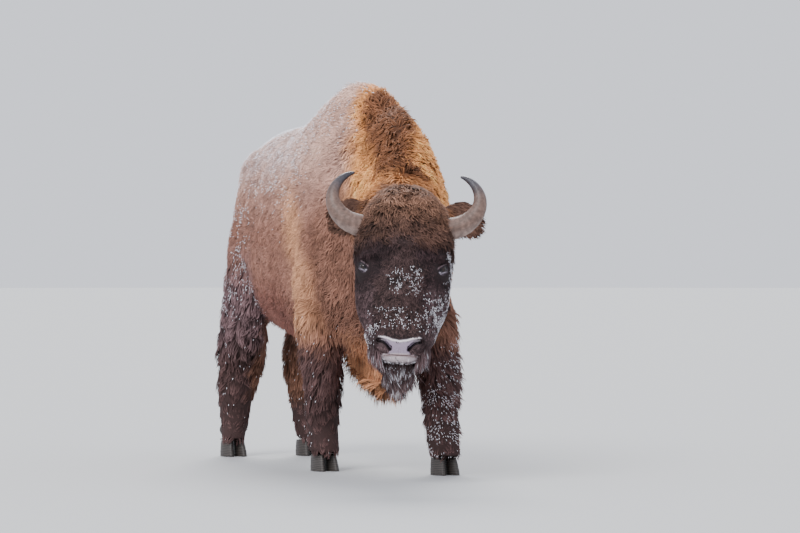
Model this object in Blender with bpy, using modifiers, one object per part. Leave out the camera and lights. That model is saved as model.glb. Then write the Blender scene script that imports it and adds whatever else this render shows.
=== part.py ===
"""A European bison, or wisent, as a life-size museum model: walking, head lowered and turned to its right.

Metres, +Z up. The animal faces -Y, its right side is -X, and it stands on the soles of its hooves at z = 0.
Every solid reaches out to the tips of the winter coat. The body is modelled whole from tapered tubes,
fused and smoothed, and then parted into trunk, neck, head, tail, legs and ears by thin cuts.
"""

import math

import bmesh
import bpy
import numpy as np
from mathutils import Matrix, Vector

CUT = 0.0006            # width of the cuts that part the body
FIT = 0.0008            # clearance round what is let into the head
FUSE_VOXEL = 0.011      # grid of the fused body
FLESH_FACES = 4300      # faces of the fused body after thinning
HOOF_HEIGHT = 0.072     # from the sole to the coronet
HOOF_RING = 14          # points round a hoof
RING = 32               # points round a body section
STEPS = 5               # rings between two stations

# The head turns to the animal's right, its muzzle swings forward, and its right side is held a little high.
HEAD_YAW = math.radians(-22)
HEAD_TILT = math.radians(-20)
HEAD_ROLL = math.radians(2.5)
HEAD_PLACE = Vector((-0.217, -0.955, 0.879))

EYE_PLACE = Vector((0.157, -0.052, -0.018))     # in the head's own frame, left side
EYE_RADIUS = 0.0185

# Where each foot stands: (x, y).
FEET = {
    "front_right": (-0.192, 0.015),
    "front_left": (0.186, -0.425),
    "hind_right": (-0.196, 1.185),
    "hind_left": (0.150, 1.120),
}

COLOURS = {
    "coat_trunk": (0.190, 0.108, 0.070),
    "coat_neck": (0.330, 0.150, 0.050),
    "coat_head": (0.070, 0.042, 0.034),
    "coat_leg": (0.075, 0.045, 0.036),
    "horn": (0.150, 0.130, 0.115),
    "hoof": (0.030, 0.026, 0.024),
    "eye": (0.012, 0.009, 0.008),
}


def clear_scene():
    for item in list(bpy.data.objects):
        bpy.data.objects.remove(item, do_unlink=True)


def finish_of(name, roughness):
    """The material of one kind of surface, made once."""
    material = bpy.data.materials.get(name)
    if material is None:
        material = bpy.data.materials.new(name)
        material.use_nodes = True
        shader = material.node_tree.nodes["Principled BSDF"]
        shader.inputs["Base Color"].default_value = (*COLOURS[name], 1.0)
        shader.inputs["Roughness"].default_value = roughness
        shader.inputs["Metallic"].default_value = 0.0
        material.diffuse_color = (*COLOURS[name], 1.0)
    return material


def new_object(name, mesh_in_progress):
    """Turns a bmesh into an object of the scene."""
    bmesh.ops.recalc_face_normals(mesh_in_progress, faces=mesh_in_progress.faces[:])
    data = bpy.data.meshes.new(name)
    mesh_in_progress.to_mesh(data)
    mesh_in_progress.free()
    item = bpy.data.objects.new(name, data)
    bpy.context.scene.collection.objects.link(item)
    return item


def smooth_rows(rows, steps):
    """Stations read off a smooth curve through the given ones."""
    table = np.array(rows, float)
    table = np.vstack([2 * table[0] - table[1], table, 2 * table[-1] - table[-2]])
    smooth = []
    for i in range(1, len(table) - 2):
        before, start, end, after = table[i - 1:i + 3]
        for t in np.arange(steps) / steps:
            smooth.append(
                0.5 * (2 * start + (end - before) * t
                       + (2 * before - 5 * start + 4 * end - after) * t ** 2
                       + (3 * start - before - 3 * end + after) * t ** 3)
            )
    return np.array(smooth + [table[-2]])


def rounded(angle, power):
    """Cosine and sine bent towards a box (power over 2) or a ridge (power under 2)."""
    c, s = math.cos(angle), math.sin(angle)
    return (math.copysign(abs(c) ** (2 / power), c), math.copysign(abs(s) ** (2 / power), s))


def tube(name, rows, up, ring=RING, steps=STEPS, frame=Matrix.Identity(4), grow=0.0):
    """A closed tube through stations (x, y, z, side, high, low, power above, power below).

    side, high and low are how far the section reaches from its station: sideways, towards up, and away from it.
    grow swells the whole tube, ends included, to make the socket of the same tube.
    """
    rows = smooth_rows(rows, steps)
    places = rows[:, :3]
    along = np.gradient(places, axis=0)
    rows[:, 3:6] += grow
    places[0] -= 2 * grow * along[0] / np.linalg.norm(along[0])
    places[-1] += 2 * grow * along[-1] / np.linalg.norm(along[-1])
    made = bmesh.new()
    loops = []
    for place, heading, size in zip(places, along, rows[:, 3:]):
        ahead = Vector(heading).normalized()
        across = ahead.cross(Vector(up)).normalized()
        above = across.cross(ahead)
        side, high, low, power_high, power_low = size
        loop = []
        for k in range(ring):
            angle = 2 * math.pi * (k + 0.5) / ring
            upper = math.sin(angle) > 0
            c, s = rounded(angle, power_high if upper else power_low)
            point = Vector(place) + across * side * c + above * (high if upper else low) * s
            loop.append(made.verts.new(frame @ point))
        loops.append(loop)
    for first, second in zip(loops, loops[1:]):
        for k in range(ring):
            n = (k + 1) % ring
            made.faces.new((first[k], first[n], second[n], second[k]))
    for loop in (loops[0], loops[-1]):
        made.faces.new(loop)
    return new_object(name, made)


def ellipsoid(name, place, radii, frame=Matrix.Identity(4), segments=24, rings=16):
    made = bmesh.new()
    bmesh.ops.create_uvsphere(made, u_segments=segments, v_segments=rings, radius=1.0)
    shape = frame @ Matrix.Translation(place) @ Matrix.Diagonal((*radii, 1.0))
    bmesh.ops.transform(made, matrix=shape, verts=made.verts[:])
    return new_object(name, made)


def head_frame():
    turn = Matrix.Rotation(HEAD_YAW, 4, "Z") @ Matrix.Rotation(HEAD_TILT, 4, "X")
    return Matrix.Translation(HEAD_PLACE) @ turn @ Matrix.Rotation(HEAD_ROLL, 4, "Y")


def trunk_form():
    """Rump to breast. Stations: y, top of back, belly, half width, height of the widest place, two powers."""
    stations = [
        (1.345, 1.150, 1.000, 0.050, 1.080, 2.0, 2.0),
        (1.320, 1.270, 0.900, 0.120, 1.080, 2.1, 2.0),
        (1.250, 1.380, 0.800, 0.175, 1.080, 2.2, 2.1),
        (1.120, 1.460, 0.710, 0.225, 1.060, 2.2, 2.2),
        (0.980, 1.503, 0.640, 0.250, 1.040, 2.2, 2.3),
        (0.800, 1.530, 0.590, 0.270, 1.010, 2.1, 2.3),
        (0.600, 1.566, 0.560, 0.298, 0.960, 1.95, 2.3),
        (0.400, 1.618, 0.540, 0.312, 0.930, 1.8, 2.3),
        (0.200, 1.674, 0.525, 0.312, 0.930, 1.65, 2.3),
        (0.000, 1.700, 0.510, 0.305, 0.950, 1.65, 2.3),
        (-0.180, 1.685, 0.500, 0.295, 0.970, 1.65, 2.2),
        (-0.330, 1.632, 0.520, 0.264, 0.990, 1.65, 2.1),
        (-0.450, 1.542, 0.580, 0.222, 1.010, 1.75, 2.0),
        (-0.530, 1.400, 0.680, 0.150, 1.020, 2.0, 2.0),
        (-0.565, 1.250, 0.800, 0.060, 1.020, 2.0, 2.0),
    ]
    rows = [(0, y, wide, half, top - wide, wide - belly, upper, lower)
            for y, top, belly, half, wide, upper, lower in stations]
    return tube("trunk_form", rows, up=(0, 0, 1), ring=40)


def neck_form():
    """From between the shoulders to the back of the head, bending to the right."""
    rows = [
        (0.000, -0.160, 1.060, 0.220, 0.540, 0.460, 1.6, 2.1),
        (-0.014, -0.360, 1.050, 0.248, 0.520, 0.480, 1.6, 2.1),
        (-0.062, -0.540, 1.025, 0.220, 0.435, 0.460, 1.65, 2.1),
        (-0.116, -0.690, 1.000, 0.198, 0.340, 0.400, 1.8, 2.1),
        (-0.155, -0.800, 0.985, 0.182, 0.265, 0.320, 2.0, 2.1),
        (-0.180, -0.880, 0.980, 0.145, 0.205, 0.230, 2.1, 2.1),
    ]
    return tube("neck_form", rows, up=(0, 0, 1))


def head_form(frame):
    """Crown to lips, in the head's own frame: z, centre y, half width, reach forward, reach back, two powers."""
    stations = [
        (0.375, 0.045, 0.050, 0.040, 0.045, 2.0, 2.0),
        (0.340, 0.040, 0.115, 0.100, 0.100, 2.0, 2.0),
        (0.265, 0.035, 0.175, 0.155, 0.145, 2.2, 2.1),
        (0.170, 0.035, 0.210, 0.182, 0.165, 2.4, 2.2),
        (0.080, 0.048, 0.206, 0.188, 0.157, 2.4, 2.2),
        (0.000, 0.050, 0.202, 0.178, 0.150, 2.4, 2.2),
        (-0.080, 0.040, 0.200, 0.165, 0.145, 2.4, 2.2),
        (-0.170, 0.028, 0.190, 0.152, 0.127, 2.3, 2.2),
        (-0.250, 0.016, 0.160, 0.136, 0.099, 2.3, 2.2),
        (-0.320, 0.002, 0.137, 0.114, 0.083, 2.4, 2.3),
        (-0.375, -0.005, 0.117, 0.086, 0.080, 2.3, 2.3),
        (-0.412, 0.005, 0.074, 0.052, 0.050, 2.0, 2.0),
    ]
    rows = [(0, y, z, half, ahead, behind, front, back)
            for z, y, half, ahead, behind, front, back in stations]
    return tube("head_form", rows, up=(0, -1, 0), frame=frame)


def beard_form(frame):
    """The beard hangs from the chin, straight down whatever the head's tilt."""
    chin = frame @ Vector((0.0, 0.035, -0.345))
    drops = [(0.000, 0.080, 0.055, 0.060), (0.060, 0.094, 0.052, 0.060), (0.110, 0.086, 0.042, 0.050),
             (0.152, 0.058, 0.030, 0.036), (0.184, 0.028, 0.018, 0.020)]
    rows = [(chin.x, chin.y + 0.1 * drop, chin.z - drop, half, ahead, behind, 2.0, 2.0)
            for drop, half, ahead, behind in drops]
    return tube("beard_form", rows, up=(0, -1, 0), ring=20)


def throat_form(frame):
    """The mane of the throat, from the angle of the jaw down to the breast."""
    jaw = frame @ Vector((0.0, 0.150, -0.060))
    rows = [
        (jaw.x, jaw.y, jaw.z, 0.120, 0.120, 0.130, 2.0, 2.0),
        (-0.130, -0.690, 0.740, 0.120, 0.120, 0.140, 2.0, 2.0),
        (-0.060, -0.520, 0.610, 0.105, 0.110, 0.130, 2.0, 2.0),
        (-0.020, -0.360, 0.540, 0.090, 0.100, 0.120, 2.0, 2.0),
    ]
    return tube("throat_form", rows, up=(0, 0, 1))


def brisket_form():
    """The tawny fringe under the breast: a curtain between the forelegs, deepest in front."""
    rows = [
        (-0.050, -0.500, 0.610, 0.045, 0.080, 0.170, 2.0, 1.6),
        (-0.035, -0.390, 0.570, 0.055, 0.090, 0.225, 2.0, 1.5),
        (-0.025, -0.240, 0.560, 0.055, 0.090, 0.220, 2.0, 1.5),
        (-0.015, -0.080, 0.560, 0.052, 0.080, 0.205, 2.0, 1.6),
        (-0.005, 0.080, 0.560, 0.050, 0.070, 0.165, 2.0, 1.7),
        (0.000, 0.240, 0.560, 0.038, 0.060, 0.085, 2.0, 2.0),
    ]
    return tube("brisket_form", rows, up=(0, 0, 1), ring=20)


def foreleg_form(side, foot, elbow, knee):
    """Shoulder to coronet. The three joints are (x, y); what lies between follows from them."""
    shoulder = (0.196 * side, -0.110)
    pastern = (foot[0], foot[1] + 0.020)
    stations = [
        (1.230, (0.150 * side, -0.110), 0.050, 0.080, 0.080),
        (1.100, shoulder, 0.085, 0.140, 0.140),
        (0.940, (0.212 * side, elbow[1] - 0.060), 0.108, 0.175, 0.190),
        (0.780, elbow, 0.112, 0.140, 0.175),
        (0.640, (0.6 * elbow[0] + 0.4 * knee[0], 0.6 * elbow[1] + 0.4 * knee[1]), 0.112, 0.112, 0.170),
        (0.520, (0.3 * elbow[0] + 0.7 * knee[0], 0.3 * elbow[1] + 0.7 * knee[1]), 0.104, 0.096, 0.145),
        (0.400, knee, 0.092, 0.084, 0.112),
        (0.280, (0.5 * (knee[0] + pastern[0]), 0.5 * (knee[1] + pastern[1])), 0.084, 0.074, 0.098),
        (0.170, pastern, 0.078, 0.070, 0.086),
        (0.100, foot, 0.074, 0.076, 0.076),
        (0.030, (foot[0], foot[1] - 0.012), 0.074, 0.080, 0.072),
    ]
    rows = [(x, y, z, half, ahead, behind, 2.1, 2.0) for z, (x, y), half, ahead, behind in stations]
    return tube("foreleg_form", rows, up=(0, -1, 0), ring=24)


def hindleg_form(side, foot):
    """Hip to coronet: thigh, stifle, hock and cannon, worked out from where the foot stands."""
    x, y = foot
    stations = [
        (1.200, (0.125 * side, 1.010), 0.090, 0.150, 0.160),
        (1.020, (0.150 * side, 1.030), 0.108, 0.200, 0.185),
        (0.860, (0.160 * side, y - 0.110), 0.108, 0.220, 0.165),
        (0.720, (0.164 * side, y - 0.055), 0.104, 0.240, 0.140),
        (0.600, (0.155 * side, y + 0.005), 0.110, 0.235, 0.112),
        (0.500, (0.150 * side, y + 0.045), 0.118, 0.205, 0.092),
        (0.400, (0.150 * side, y + 0.050), 0.112, 0.160, 0.080),
        (0.280, (0.5 * (x + 0.150 * side), y + 0.035), 0.090, 0.108, 0.072),
        (0.170, (0.7 * x + 0.045 * side, y + 0.018), 0.076, 0.078, 0.070),
        (0.100, (x, y), 0.065, 0.070, 0.068),
        (0.030, (x, y - 0.012), 0.067, 0.076, 0.066),
    ]
    rows = [(px, py, z, half, ahead, behind, 2.1, 2.0) for z, (px, py), half, ahead, behind in stations]
    return tube("hindleg_form", rows, up=(0, -1, 0), ring=24)


def tail_form():
    """A short tail that hangs behind the rump and ends in a brush."""
    rows = [
        (0.000, 1.270, 1.330, 0.045, 0.045, 0.045, 2.0, 2.0),
        (0.005, 1.370, 1.240, 0.036, 0.036, 0.036, 2.0, 2.0),
        (0.010, 1.415, 1.080, 0.031, 0.031, 0.031, 2.0, 2.0),
        (0.015, 1.425, 0.900, 0.034, 0.034, 0.034, 2.0, 2.0),
        (0.020, 1.430, 0.740, 0.052, 0.052, 0.052, 2.0, 2.0),
        (0.020, 1.430, 0.620, 0.044, 0.044, 0.044, 2.0, 2.0),
        (0.020, 1.430, 0.530, 0.016, 0.016, 0.016, 2.0, 2.0),
    ]
    return tube("tail_form", rows, up=(0, -1, 0), ring=16)


def bony_points(frame):
    """The hips, and the rims of the eye sockets."""
    made = []
    for side in (-1, 1):
        made.append(ellipsoid("hip", (0.106 * side, 0.990, 1.255), (0.103, 0.265, 0.172)))
        rim = Vector((0.138 * side, EYE_PLACE.y + 0.012, EYE_PLACE.z + 0.022))
        made.append(ellipsoid("orbit", rim, (0.034, 0.050, 0.040), frame))
    return made


def fused_body(frame):
    """All the body forms as one closed, smooth mesh."""
    right, left = FEET["front_right"], FEET["front_left"]
    forms = [
        trunk_form(), neck_form(), head_form(frame), beard_form(frame), throat_form(frame),
        brisket_form(), tail_form(),
        foreleg_form(-1, right, elbow=(-0.214, 0.030), knee=(-0.200, 0.000)),
        foreleg_form(1, left, elbow=(0.242, -0.090), knee=(0.216, -0.310)),
        hindleg_form(-1, FEET["hind_right"]), hindleg_form(1, FEET["hind_left"]),
        *bony_points(frame),
    ]
    bpy.ops.object.select_all(action="DESELECT")
    for form in forms:
        form.select_set(True)
    body = forms[0]
    bpy.context.view_layer.objects.active = body
    bpy.ops.object.join()
    remesh = body.modifiers.new("Fuse", "REMESH")
    remesh.mode = "VOXEL"
    remesh.voxel_size = FUSE_VOXEL
    smooth = body.modifiers.new("Smooth", "SMOOTH")
    smooth.factor = 0.5
    smooth.iterations = 7
    bpy.ops.object.modifier_apply(modifier=remesh.name)
    bpy.ops.object.modifier_apply(modifier=smooth.name)
    thin_evenly(body)
    return body


def thin_evenly(body):
    """Fewer faces, most of them left where the form turns fastest: on the head and the feet."""
    thin = body.modifiers.new("Thin", "DECIMATE")
    thin.ratio = FLESH_FACES / (2 * len(body.data.polygons))
    bpy.ops.object.modifier_apply(modifier=thin.name)


def horn(name, side, frame, grow=0.0):
    """Out sideways, up, and in again: a ringed, tapering hook. grow widens it for its own socket."""
    rows = [
        (0.110, 0.010, 0.175, 0.048), (0.178, 0.000, 0.178, 0.047), (0.244, -0.010, 0.198, 0.042),
        (0.292, -0.018, 0.250, 0.035), (0.302, -0.018, 0.312, 0.027), (0.280, -0.010, 0.366, 0.019),
        (0.246, 0.000, 0.400, 0.012), (0.218, 0.006, 0.412, 0.005),
    ]
    rows = [(side * x, y, z, r, 0.92 * r, 0.92 * r, 2, 2) for x, y, z, r in rows]
    return tube(name, rows, up=(0, -1, 0), ring=12, steps=2, frame=frame, grow=grow)


def ear(name, side, frame, grow=0.0):
    """A leaf-shaped ear behind the horn, with its hanging fringe. The left one is held a little higher."""
    root, rise = (0.230, 0.090) if side < 0 else (0.236, 0.090)
    leaf = [(0.120, 0.085, 0.00, 0.021, 0.056, 0.078), (0.175, 0.100, 0.31, 0.021, 0.066, 0.096),
            (0.226, 0.112, 0.60, 0.019, 0.070, 0.115), (0.268, 0.120, 0.83, 0.014, 0.055, 0.105),
            (0.298, 0.124, 1.00, 0.006, 0.020, 0.045)]
    rows = [(side * x, y, root + rise * t, thick, high, low, 2, 2) for x, y, t, thick, high, low in leaf]
    return tube(name, rows, up=(0, 0, 1), ring=12, steps=2, frame=frame, grow=grow)


def eye(name, side, frame, grow=0.0):
    place = (side * EYE_PLACE.x, EYE_PLACE.y, EYE_PLACE.z)
    return ellipsoid(name, place, [EYE_RADIUS + grow] * 3, frame, segments=16, rings=9)


def claw(name, foot, outward):
    """Half of a cloven hoof: pointed in front, round behind, wider at its flat sole than at the top."""
    length, width, cleft, lean = 0.128, 0.056, 0.007, 0.018
    made = bmesh.new()
    rings = []
    for height, swell in ((0.0, 1.0), (0.030, 0.97), (HOOF_HEIGHT - 0.0006, 0.84)):
        ring = []
        for k in range(HOOF_RING):
            angle = 2 * math.pi * k / HOOF_RING
            ahead = math.cos(angle)
            taper = 1 - 0.38 * max(0.0, ahead) ** 2
            bulge = 0.5 * width * (1 + math.sin(angle) * taper)
            across = outward * (0.5 * cleft + swell * bulge)
            along = -0.5 * length * ahead * swell + lean * height / HOOF_HEIGHT
            ring.append(made.verts.new((foot[0] + across, foot[1] - 0.012 + along, height)))
        rings.append(ring)
    for first, second in zip(rings, rings[1:]):
        for k in range(HOOF_RING):
            n = (k + 1) % HOOF_RING
            made.faces.new((first[k], first[n], second[n], second[k]))
    made.faces.new(rings[0])
    made.faces.new(rings[-1])
    return new_object(name, made)


def plate(name, place, size, normal):
    """A thin cutting plate, CUT thick, centred on place and facing along normal."""
    made = bmesh.new()
    bmesh.ops.create_cube(made, size=1.0)
    turn = Vector(normal).to_track_quat("Z", "Y").to_matrix().to_4x4()
    shape = Matrix.Translation(place) @ turn @ Matrix.Diagonal((*size, CUT, 1.0))
    bmesh.ops.transform(made, matrix=shape, verts=made.verts[:])
    return new_object(name, made)


def box(name, low, high):
    made = bmesh.new()
    bmesh.ops.create_cube(made, size=1.0)
    low, high = Vector(low), Vector(high)
    shape = Matrix.Translation((low + high) / 2) @ Matrix.Diagonal((*(high - low), 1.0))
    bmesh.ops.transform(made, matrix=shape, verts=made.verts[:])
    return new_object(name, made)


def wedge(name, side, inner, rise, front, back):
    """A hollow wedge with walls about CUT thick, which parts the leg inside it from the body.

    Its top starts inner from the middle plane, rise above the floor, and climbs outwards at 45 degrees.
    """
    outer, floor = 0.46, -0.10
    outline = [(inner, rise), (outer, rise + outer - inner), (outer, floor), (inner, floor)]
    middle = Vector((side * (inner + outer) / 2, (front + back) / 2, rise / 2))
    made = bmesh.new()
    for scale in (1.0, 1.0 - CUT / 0.3):
        ends = []
        for y in (front, back):
            corners = [Vector((side * x, y, z)) for x, z in outline]
            ends.append([made.verts.new(middle + scale * (c - middle)) for c in corners])
        faces = [ends[0], ends[1]]
        faces += [(ends[0][k], ends[0][k - 1], ends[1][k - 1], ends[1][k]) for k in range(4)]
        shell = [made.faces.new(face) for face in faces]
        bmesh.ops.recalc_face_normals(made, faces=shell)
        if scale < 1.0:
            bmesh.ops.reverse_faces(made, faces=shell)
    data = bpy.data.meshes.new(name)
    made.to_mesh(data)
    made.free()
    item = bpy.data.objects.new(name, data)
    bpy.context.scene.collection.objects.link(item)
    return item


def cutters(frame):
    """What is taken from the body: thin cuts, sockets for what is let in, and all below the coronets."""
    neck_end = Vector((0.10, 1.0, -0.10))
    throat = frame @ Vector((0.0, 0.225, 0.060))
    facing = frame.to_3x3() @ Vector((0.0, 1.0, 0.34))
    made = [
        plate("cut_neck", (-0.010, -0.420, 1.000), (1.4, 1.6), neck_end),
        plate("cut_head", throat, (0.9, 1.1), facing),
        plate("cut_tail", (0.0, 1.358, 1.270), (0.24, 0.20), (0.0, 1.0, 0.0)),
        box("below_coronets", (-1.0, -2.0, -0.2), (1.0, 2.0, HOOF_HEIGHT)),
    ]
    for side, word in ((-1, "right"), (1, "left")):
        fore, hind = FEET["front_" + word][1], FEET["hind_" + word][1]
        made.append(wedge("cut_foreleg_" + word, side, 0.085, 0.515, fore - 0.200, max(fore, -0.12) + 0.220))
        made.append(wedge("cut_hindleg_" + word, side, 0.020, 0.675, 0.840, max(hind, 1.15) + 0.175))
        made.append(horn("horn_socket_" + word, side, frame, FIT))
        made.append(ear("ear_socket_" + word, side, frame, FIT))
        made.append(eye("eye_socket_" + word, side, frame, FIT))
    return made


def take_away(body, tools):
    """Cuts all the tools out of the body in one Boolean, and keeps the tools out of the model."""
    group = bpy.data.collections.new("cutters")
    bpy.context.scene.collection.children.link(group)
    group.hide_render = True
    for tool in tools:
        bpy.context.scene.collection.objects.unlink(tool)
        group.objects.link(tool)
        tool.hide_render = True
        tool.display_type = "WIRE"
    bpy.context.view_layer.objects.active = body
    cut = body.modifiers.new("Part", "BOOLEAN")
    cut.operation = "DIFFERENCE"
    cut.solver = "EXACT"
    cut.operand_type = "COLLECTION"
    cut.collection = group
    bpy.ops.object.modifier_apply(modifier=cut.name)


def separate_parts(body):
    """Names each loose part of the cut body by the place it lies nearest to."""
    places = {
        "trunk": (0.0, 0.45, 1.05),
        "neck": (-0.08, -0.60, 1.02),
        "head": (-0.25, -0.97, 0.88),
        "tail": (0.01, 1.42, 0.90),
    }
    for name, (x, y) in FEET.items():
        end, side = name.split("_")
        places[("foreleg_" if end == "front" else "hindleg_") + side] = (x, y, 0.30)
    bpy.ops.object.select_all(action="DESELECT")
    body.select_set(True)
    bpy.context.view_layer.objects.active = body
    bpy.ops.object.mode_set(mode="EDIT")
    bpy.ops.mesh.select_all(action="SELECT")
    bpy.ops.mesh.separate(type="LOOSE")
    bpy.ops.object.mode_set(mode="OBJECT")
    pieces = list(bpy.context.selected_objects)
    named = {}
    for name, place in places.items():
        whole = [p for p in pieces if p not in named.values()]
        named[name] = min(whole, key=lambda p: distance_from(p, place))
    for piece in pieces:
        if piece not in named.values():
            bpy.data.objects.remove(piece)
    for name, piece in named.items():
        piece.name = name
        piece.data.name = name
    return named


def distance_from(piece, place):
    """From a place to the middle of a piece's box, in metres, with small offcuts put last."""
    corners = np.array([tuple(c) for c in piece.bound_box])
    middle = (corners.min(axis=0) + corners.max(axis=0)) / 2
    return np.linalg.norm(middle - np.array(place)) + (10.0 if len(piece.data.polygons) < 60 else 0.0)


def paint(item, colour, roughness=0.85):
    item.data.materials.clear()
    item.data.materials.append(finish_of(colour, roughness))


def centre_over_origin():
    """Hangs every solid from an empty that puts the middle of the model's box over the origin."""
    solids = [o for o in bpy.context.scene.collection.objects if o.type == "MESH"]
    corners = np.array([tuple(o.matrix_world @ Vector(c)) for o in solids for c in o.bound_box])
    middle = (corners.min(axis=0) + corners.max(axis=0)) / 2
    stand = bpy.data.objects.new("bison_origin", None)
    bpy.context.scene.collection.objects.link(stand)
    stand.location = (-middle[0], -middle[1], 0.0)
    for item in solids:
        item.parent = stand
    bpy.context.view_layer.update()


def main():
    clear_scene()
    frame = head_frame()
    body = fused_body(frame)
    take_away(body, cutters(frame))
    colours = {"trunk": "coat_trunk", "neck": "coat_neck", "head": "coat_head", "tail": "coat_leg"}
    for name, piece in separate_parts(body).items():
        paint(piece, colours.get(name, "coat_leg"))
    for side, word in ((-1, "right"), (1, "left")):
        paint(horn(f"horn_{word}", side, frame), "horn", 0.45)
        paint(ear(f"ear_{word}", side, frame), "coat_head")
        paint(eye(f"eye_{word}", side, frame), "eye", 0.08)
    for name, foot in FEET.items():
        side = -1 if name.endswith("right") else 1
        paint(claw(f"hoof_{name}_outer", foot, side), "hoof", 0.6)
        paint(claw(f"hoof_{name}_inner", foot, -side), "hoof", 0.6)
    centre_over_origin()


main()
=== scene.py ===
import math

import bpy
import numpy as np
from mathutils import Matrix, Vector
from mathutils.bvhtree import BVHTree
from mathutils.kdtree import KDTree


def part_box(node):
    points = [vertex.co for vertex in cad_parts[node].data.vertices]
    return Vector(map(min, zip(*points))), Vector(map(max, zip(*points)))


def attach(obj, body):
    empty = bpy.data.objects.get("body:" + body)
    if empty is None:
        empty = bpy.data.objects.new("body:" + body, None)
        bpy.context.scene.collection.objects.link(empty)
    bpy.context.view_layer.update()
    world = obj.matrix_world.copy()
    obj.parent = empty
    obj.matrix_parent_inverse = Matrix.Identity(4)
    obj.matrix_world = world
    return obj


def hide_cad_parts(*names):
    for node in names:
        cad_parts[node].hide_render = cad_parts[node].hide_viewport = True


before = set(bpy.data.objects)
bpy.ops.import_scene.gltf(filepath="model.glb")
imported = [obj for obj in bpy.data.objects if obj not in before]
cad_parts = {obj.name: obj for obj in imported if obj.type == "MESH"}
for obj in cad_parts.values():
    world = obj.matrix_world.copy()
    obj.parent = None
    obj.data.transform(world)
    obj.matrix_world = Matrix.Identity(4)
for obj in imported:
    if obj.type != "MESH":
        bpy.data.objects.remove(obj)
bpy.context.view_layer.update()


# ---- The hide -------------------------------------------------------------------------------------
# One skin covers trunk, neck, head, ears, tail and legs. It is raised on copies of the solids, fused so
# that no seam shows, and lies inside them by the depth of the coat that grows on it.

HIDE_WEAVE = 0.0135                     # mesh width of the fused hide
FLESH = ("trunk", "neck", "head", "tail", "foreleg_left", "foreleg_right",
         "hindleg_left", "hindleg_right", "ear_left", "ear_right")
YAW, TILT, ROLL = math.radians(-22), math.radians(-20), math.radians(2.5)      # of the head
LEFT_EYE = np.array((0.157, -0.052, -0.018))      # its middle, in the head's own frame
EYE_RADIUS = 0.0185
SOCKET, SOCKET_RADIUS = (0.145, -0.050, -0.018), 0.024          # a swelling of the hide round an eye
HORN_BASE, HORN_BASE_RADIUS = (0.140, 0.005, 0.178), 0.062      # and one under a horn


def middle(*nodes):
    """The middle of the box round these solids."""
    corners = [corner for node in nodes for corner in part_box(node)]
    low = Vector([min(c[k] for c in corners) for k in range(3)])
    high = Vector([max(c[k] for c in corners) for k in range(3)])
    return (low + high) / 2


def free_hands():
    """Nothing stays selected from the piece before."""
    if bpy.context.mode != "OBJECT":
        bpy.ops.object.mode_set(mode="OBJECT")
    bpy.ops.object.select_all(action="DESELECT")


def twin_of(nodes, name):
    """A copy of these solids as one object, with its corners merged."""
    free_hands()
    for node in nodes:
        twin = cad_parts[node].copy()
        twin.data = twin.data.copy()
        twin.data.materials.clear()
        twin.parent = None
        for key in list(twin.keys()):
            del twin[key]
        bpy.context.scene.collection.objects.link(twin)
        twin.select_set(True)
        bpy.context.view_layer.objects.active = twin
    if len(nodes) > 1:
        bpy.ops.object.join()
    whole = bpy.context.view_layer.objects.active
    whole.name = whole.data.name = name
    bpy.ops.object.mode_set(mode="EDIT")
    bpy.ops.mesh.select_all(action="SELECT")
    bpy.ops.mesh.remove_doubles(threshold=0.0001)
    bpy.ops.object.mode_set(mode="OBJECT")
    return whole


def shape_with(piece, kind, **settings):
    """Adds one modifier and applies it at once."""
    bpy.context.view_layer.objects.active = piece
    modifier = piece.modifiers.new(kind.title(), kind)
    for key, value in settings.items():
        setattr(modifier, key, value)
    bpy.ops.object.modifier_apply(modifier=modifier.name)


def new_ball(name, place, radius, segments, rings):
    free_hands()
    bpy.ops.mesh.primitive_uv_sphere_add(segments=segments, ring_count=rings, radius=radius, location=place)
    ball = bpy.context.object
    ball.name = ball.data.name = name
    return ball


def read(elements, field, width=1, kind=float):
    """One array with a row for each element of a mesh."""
    values = np.empty(len(elements) * width, kind)
    elements.foreach_get(field, values)
    return values.reshape(-1, width) if width > 1 else values


def points_of(mesh):
    return read(mesh.vertices, "co", 3)


def normals_of(mesh):
    return read(mesh.vertex_normals, "vector", 3)


def set_points(mesh, places):
    mesh.vertices.foreach_set("co", places.ravel())
    mesh.update()


def keep(mesh, name, values, kind="FLOAT", domain="POINT"):
    """Stores an attribute on the mesh."""
    field = {"FLOAT": "value", "FLOAT_COLOR": "color", "FLOAT_VECTOR": "vector"}[kind]
    kept = mesh.attributes.new(name, kind, domain)
    kept.data.foreach_set(field, np.asarray(values, np.float32).ravel())


def ramp(value, low, high):
    """0 below low, 1 above high, and smooth between. It falls instead where low is above high."""
    t = np.clip((value - low) / (high - low), 0, 1)
    return t * t * (3 - 2 * t)


def bell(value, width):
    """1 where the value is 0, falling away on both sides within about this width."""
    return np.exp(-(value / width) ** 2)


def mottle(places, size, seed):
    """Smooth random patches from -1 to 1, about this size across."""
    cells = np.floor(places / size).astype(np.int64)
    inside = places / size - cells
    inside = inside * inside * (3 - 2 * inside)
    total = np.zeros(len(places))
    for corner in np.ndindex(2, 2, 2):
        c = cells + corner
        mixed = (c[:, 0] * 73856093) ^ (c[:, 1] * 19349663) ^ (c[:, 2] * 83492791) ^ (seed * 2654435761)
        mixed = ((mixed ^ (mixed >> 13)) * 1274126177) & 0xFFFFFFFF
        share = np.prod(np.where(corner, inside, 1 - inside), axis=1)
        total += share * (((mixed ^ (mixed >> 16)) & 0xFFFF) / 32767.5 - 1)
    return total


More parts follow.
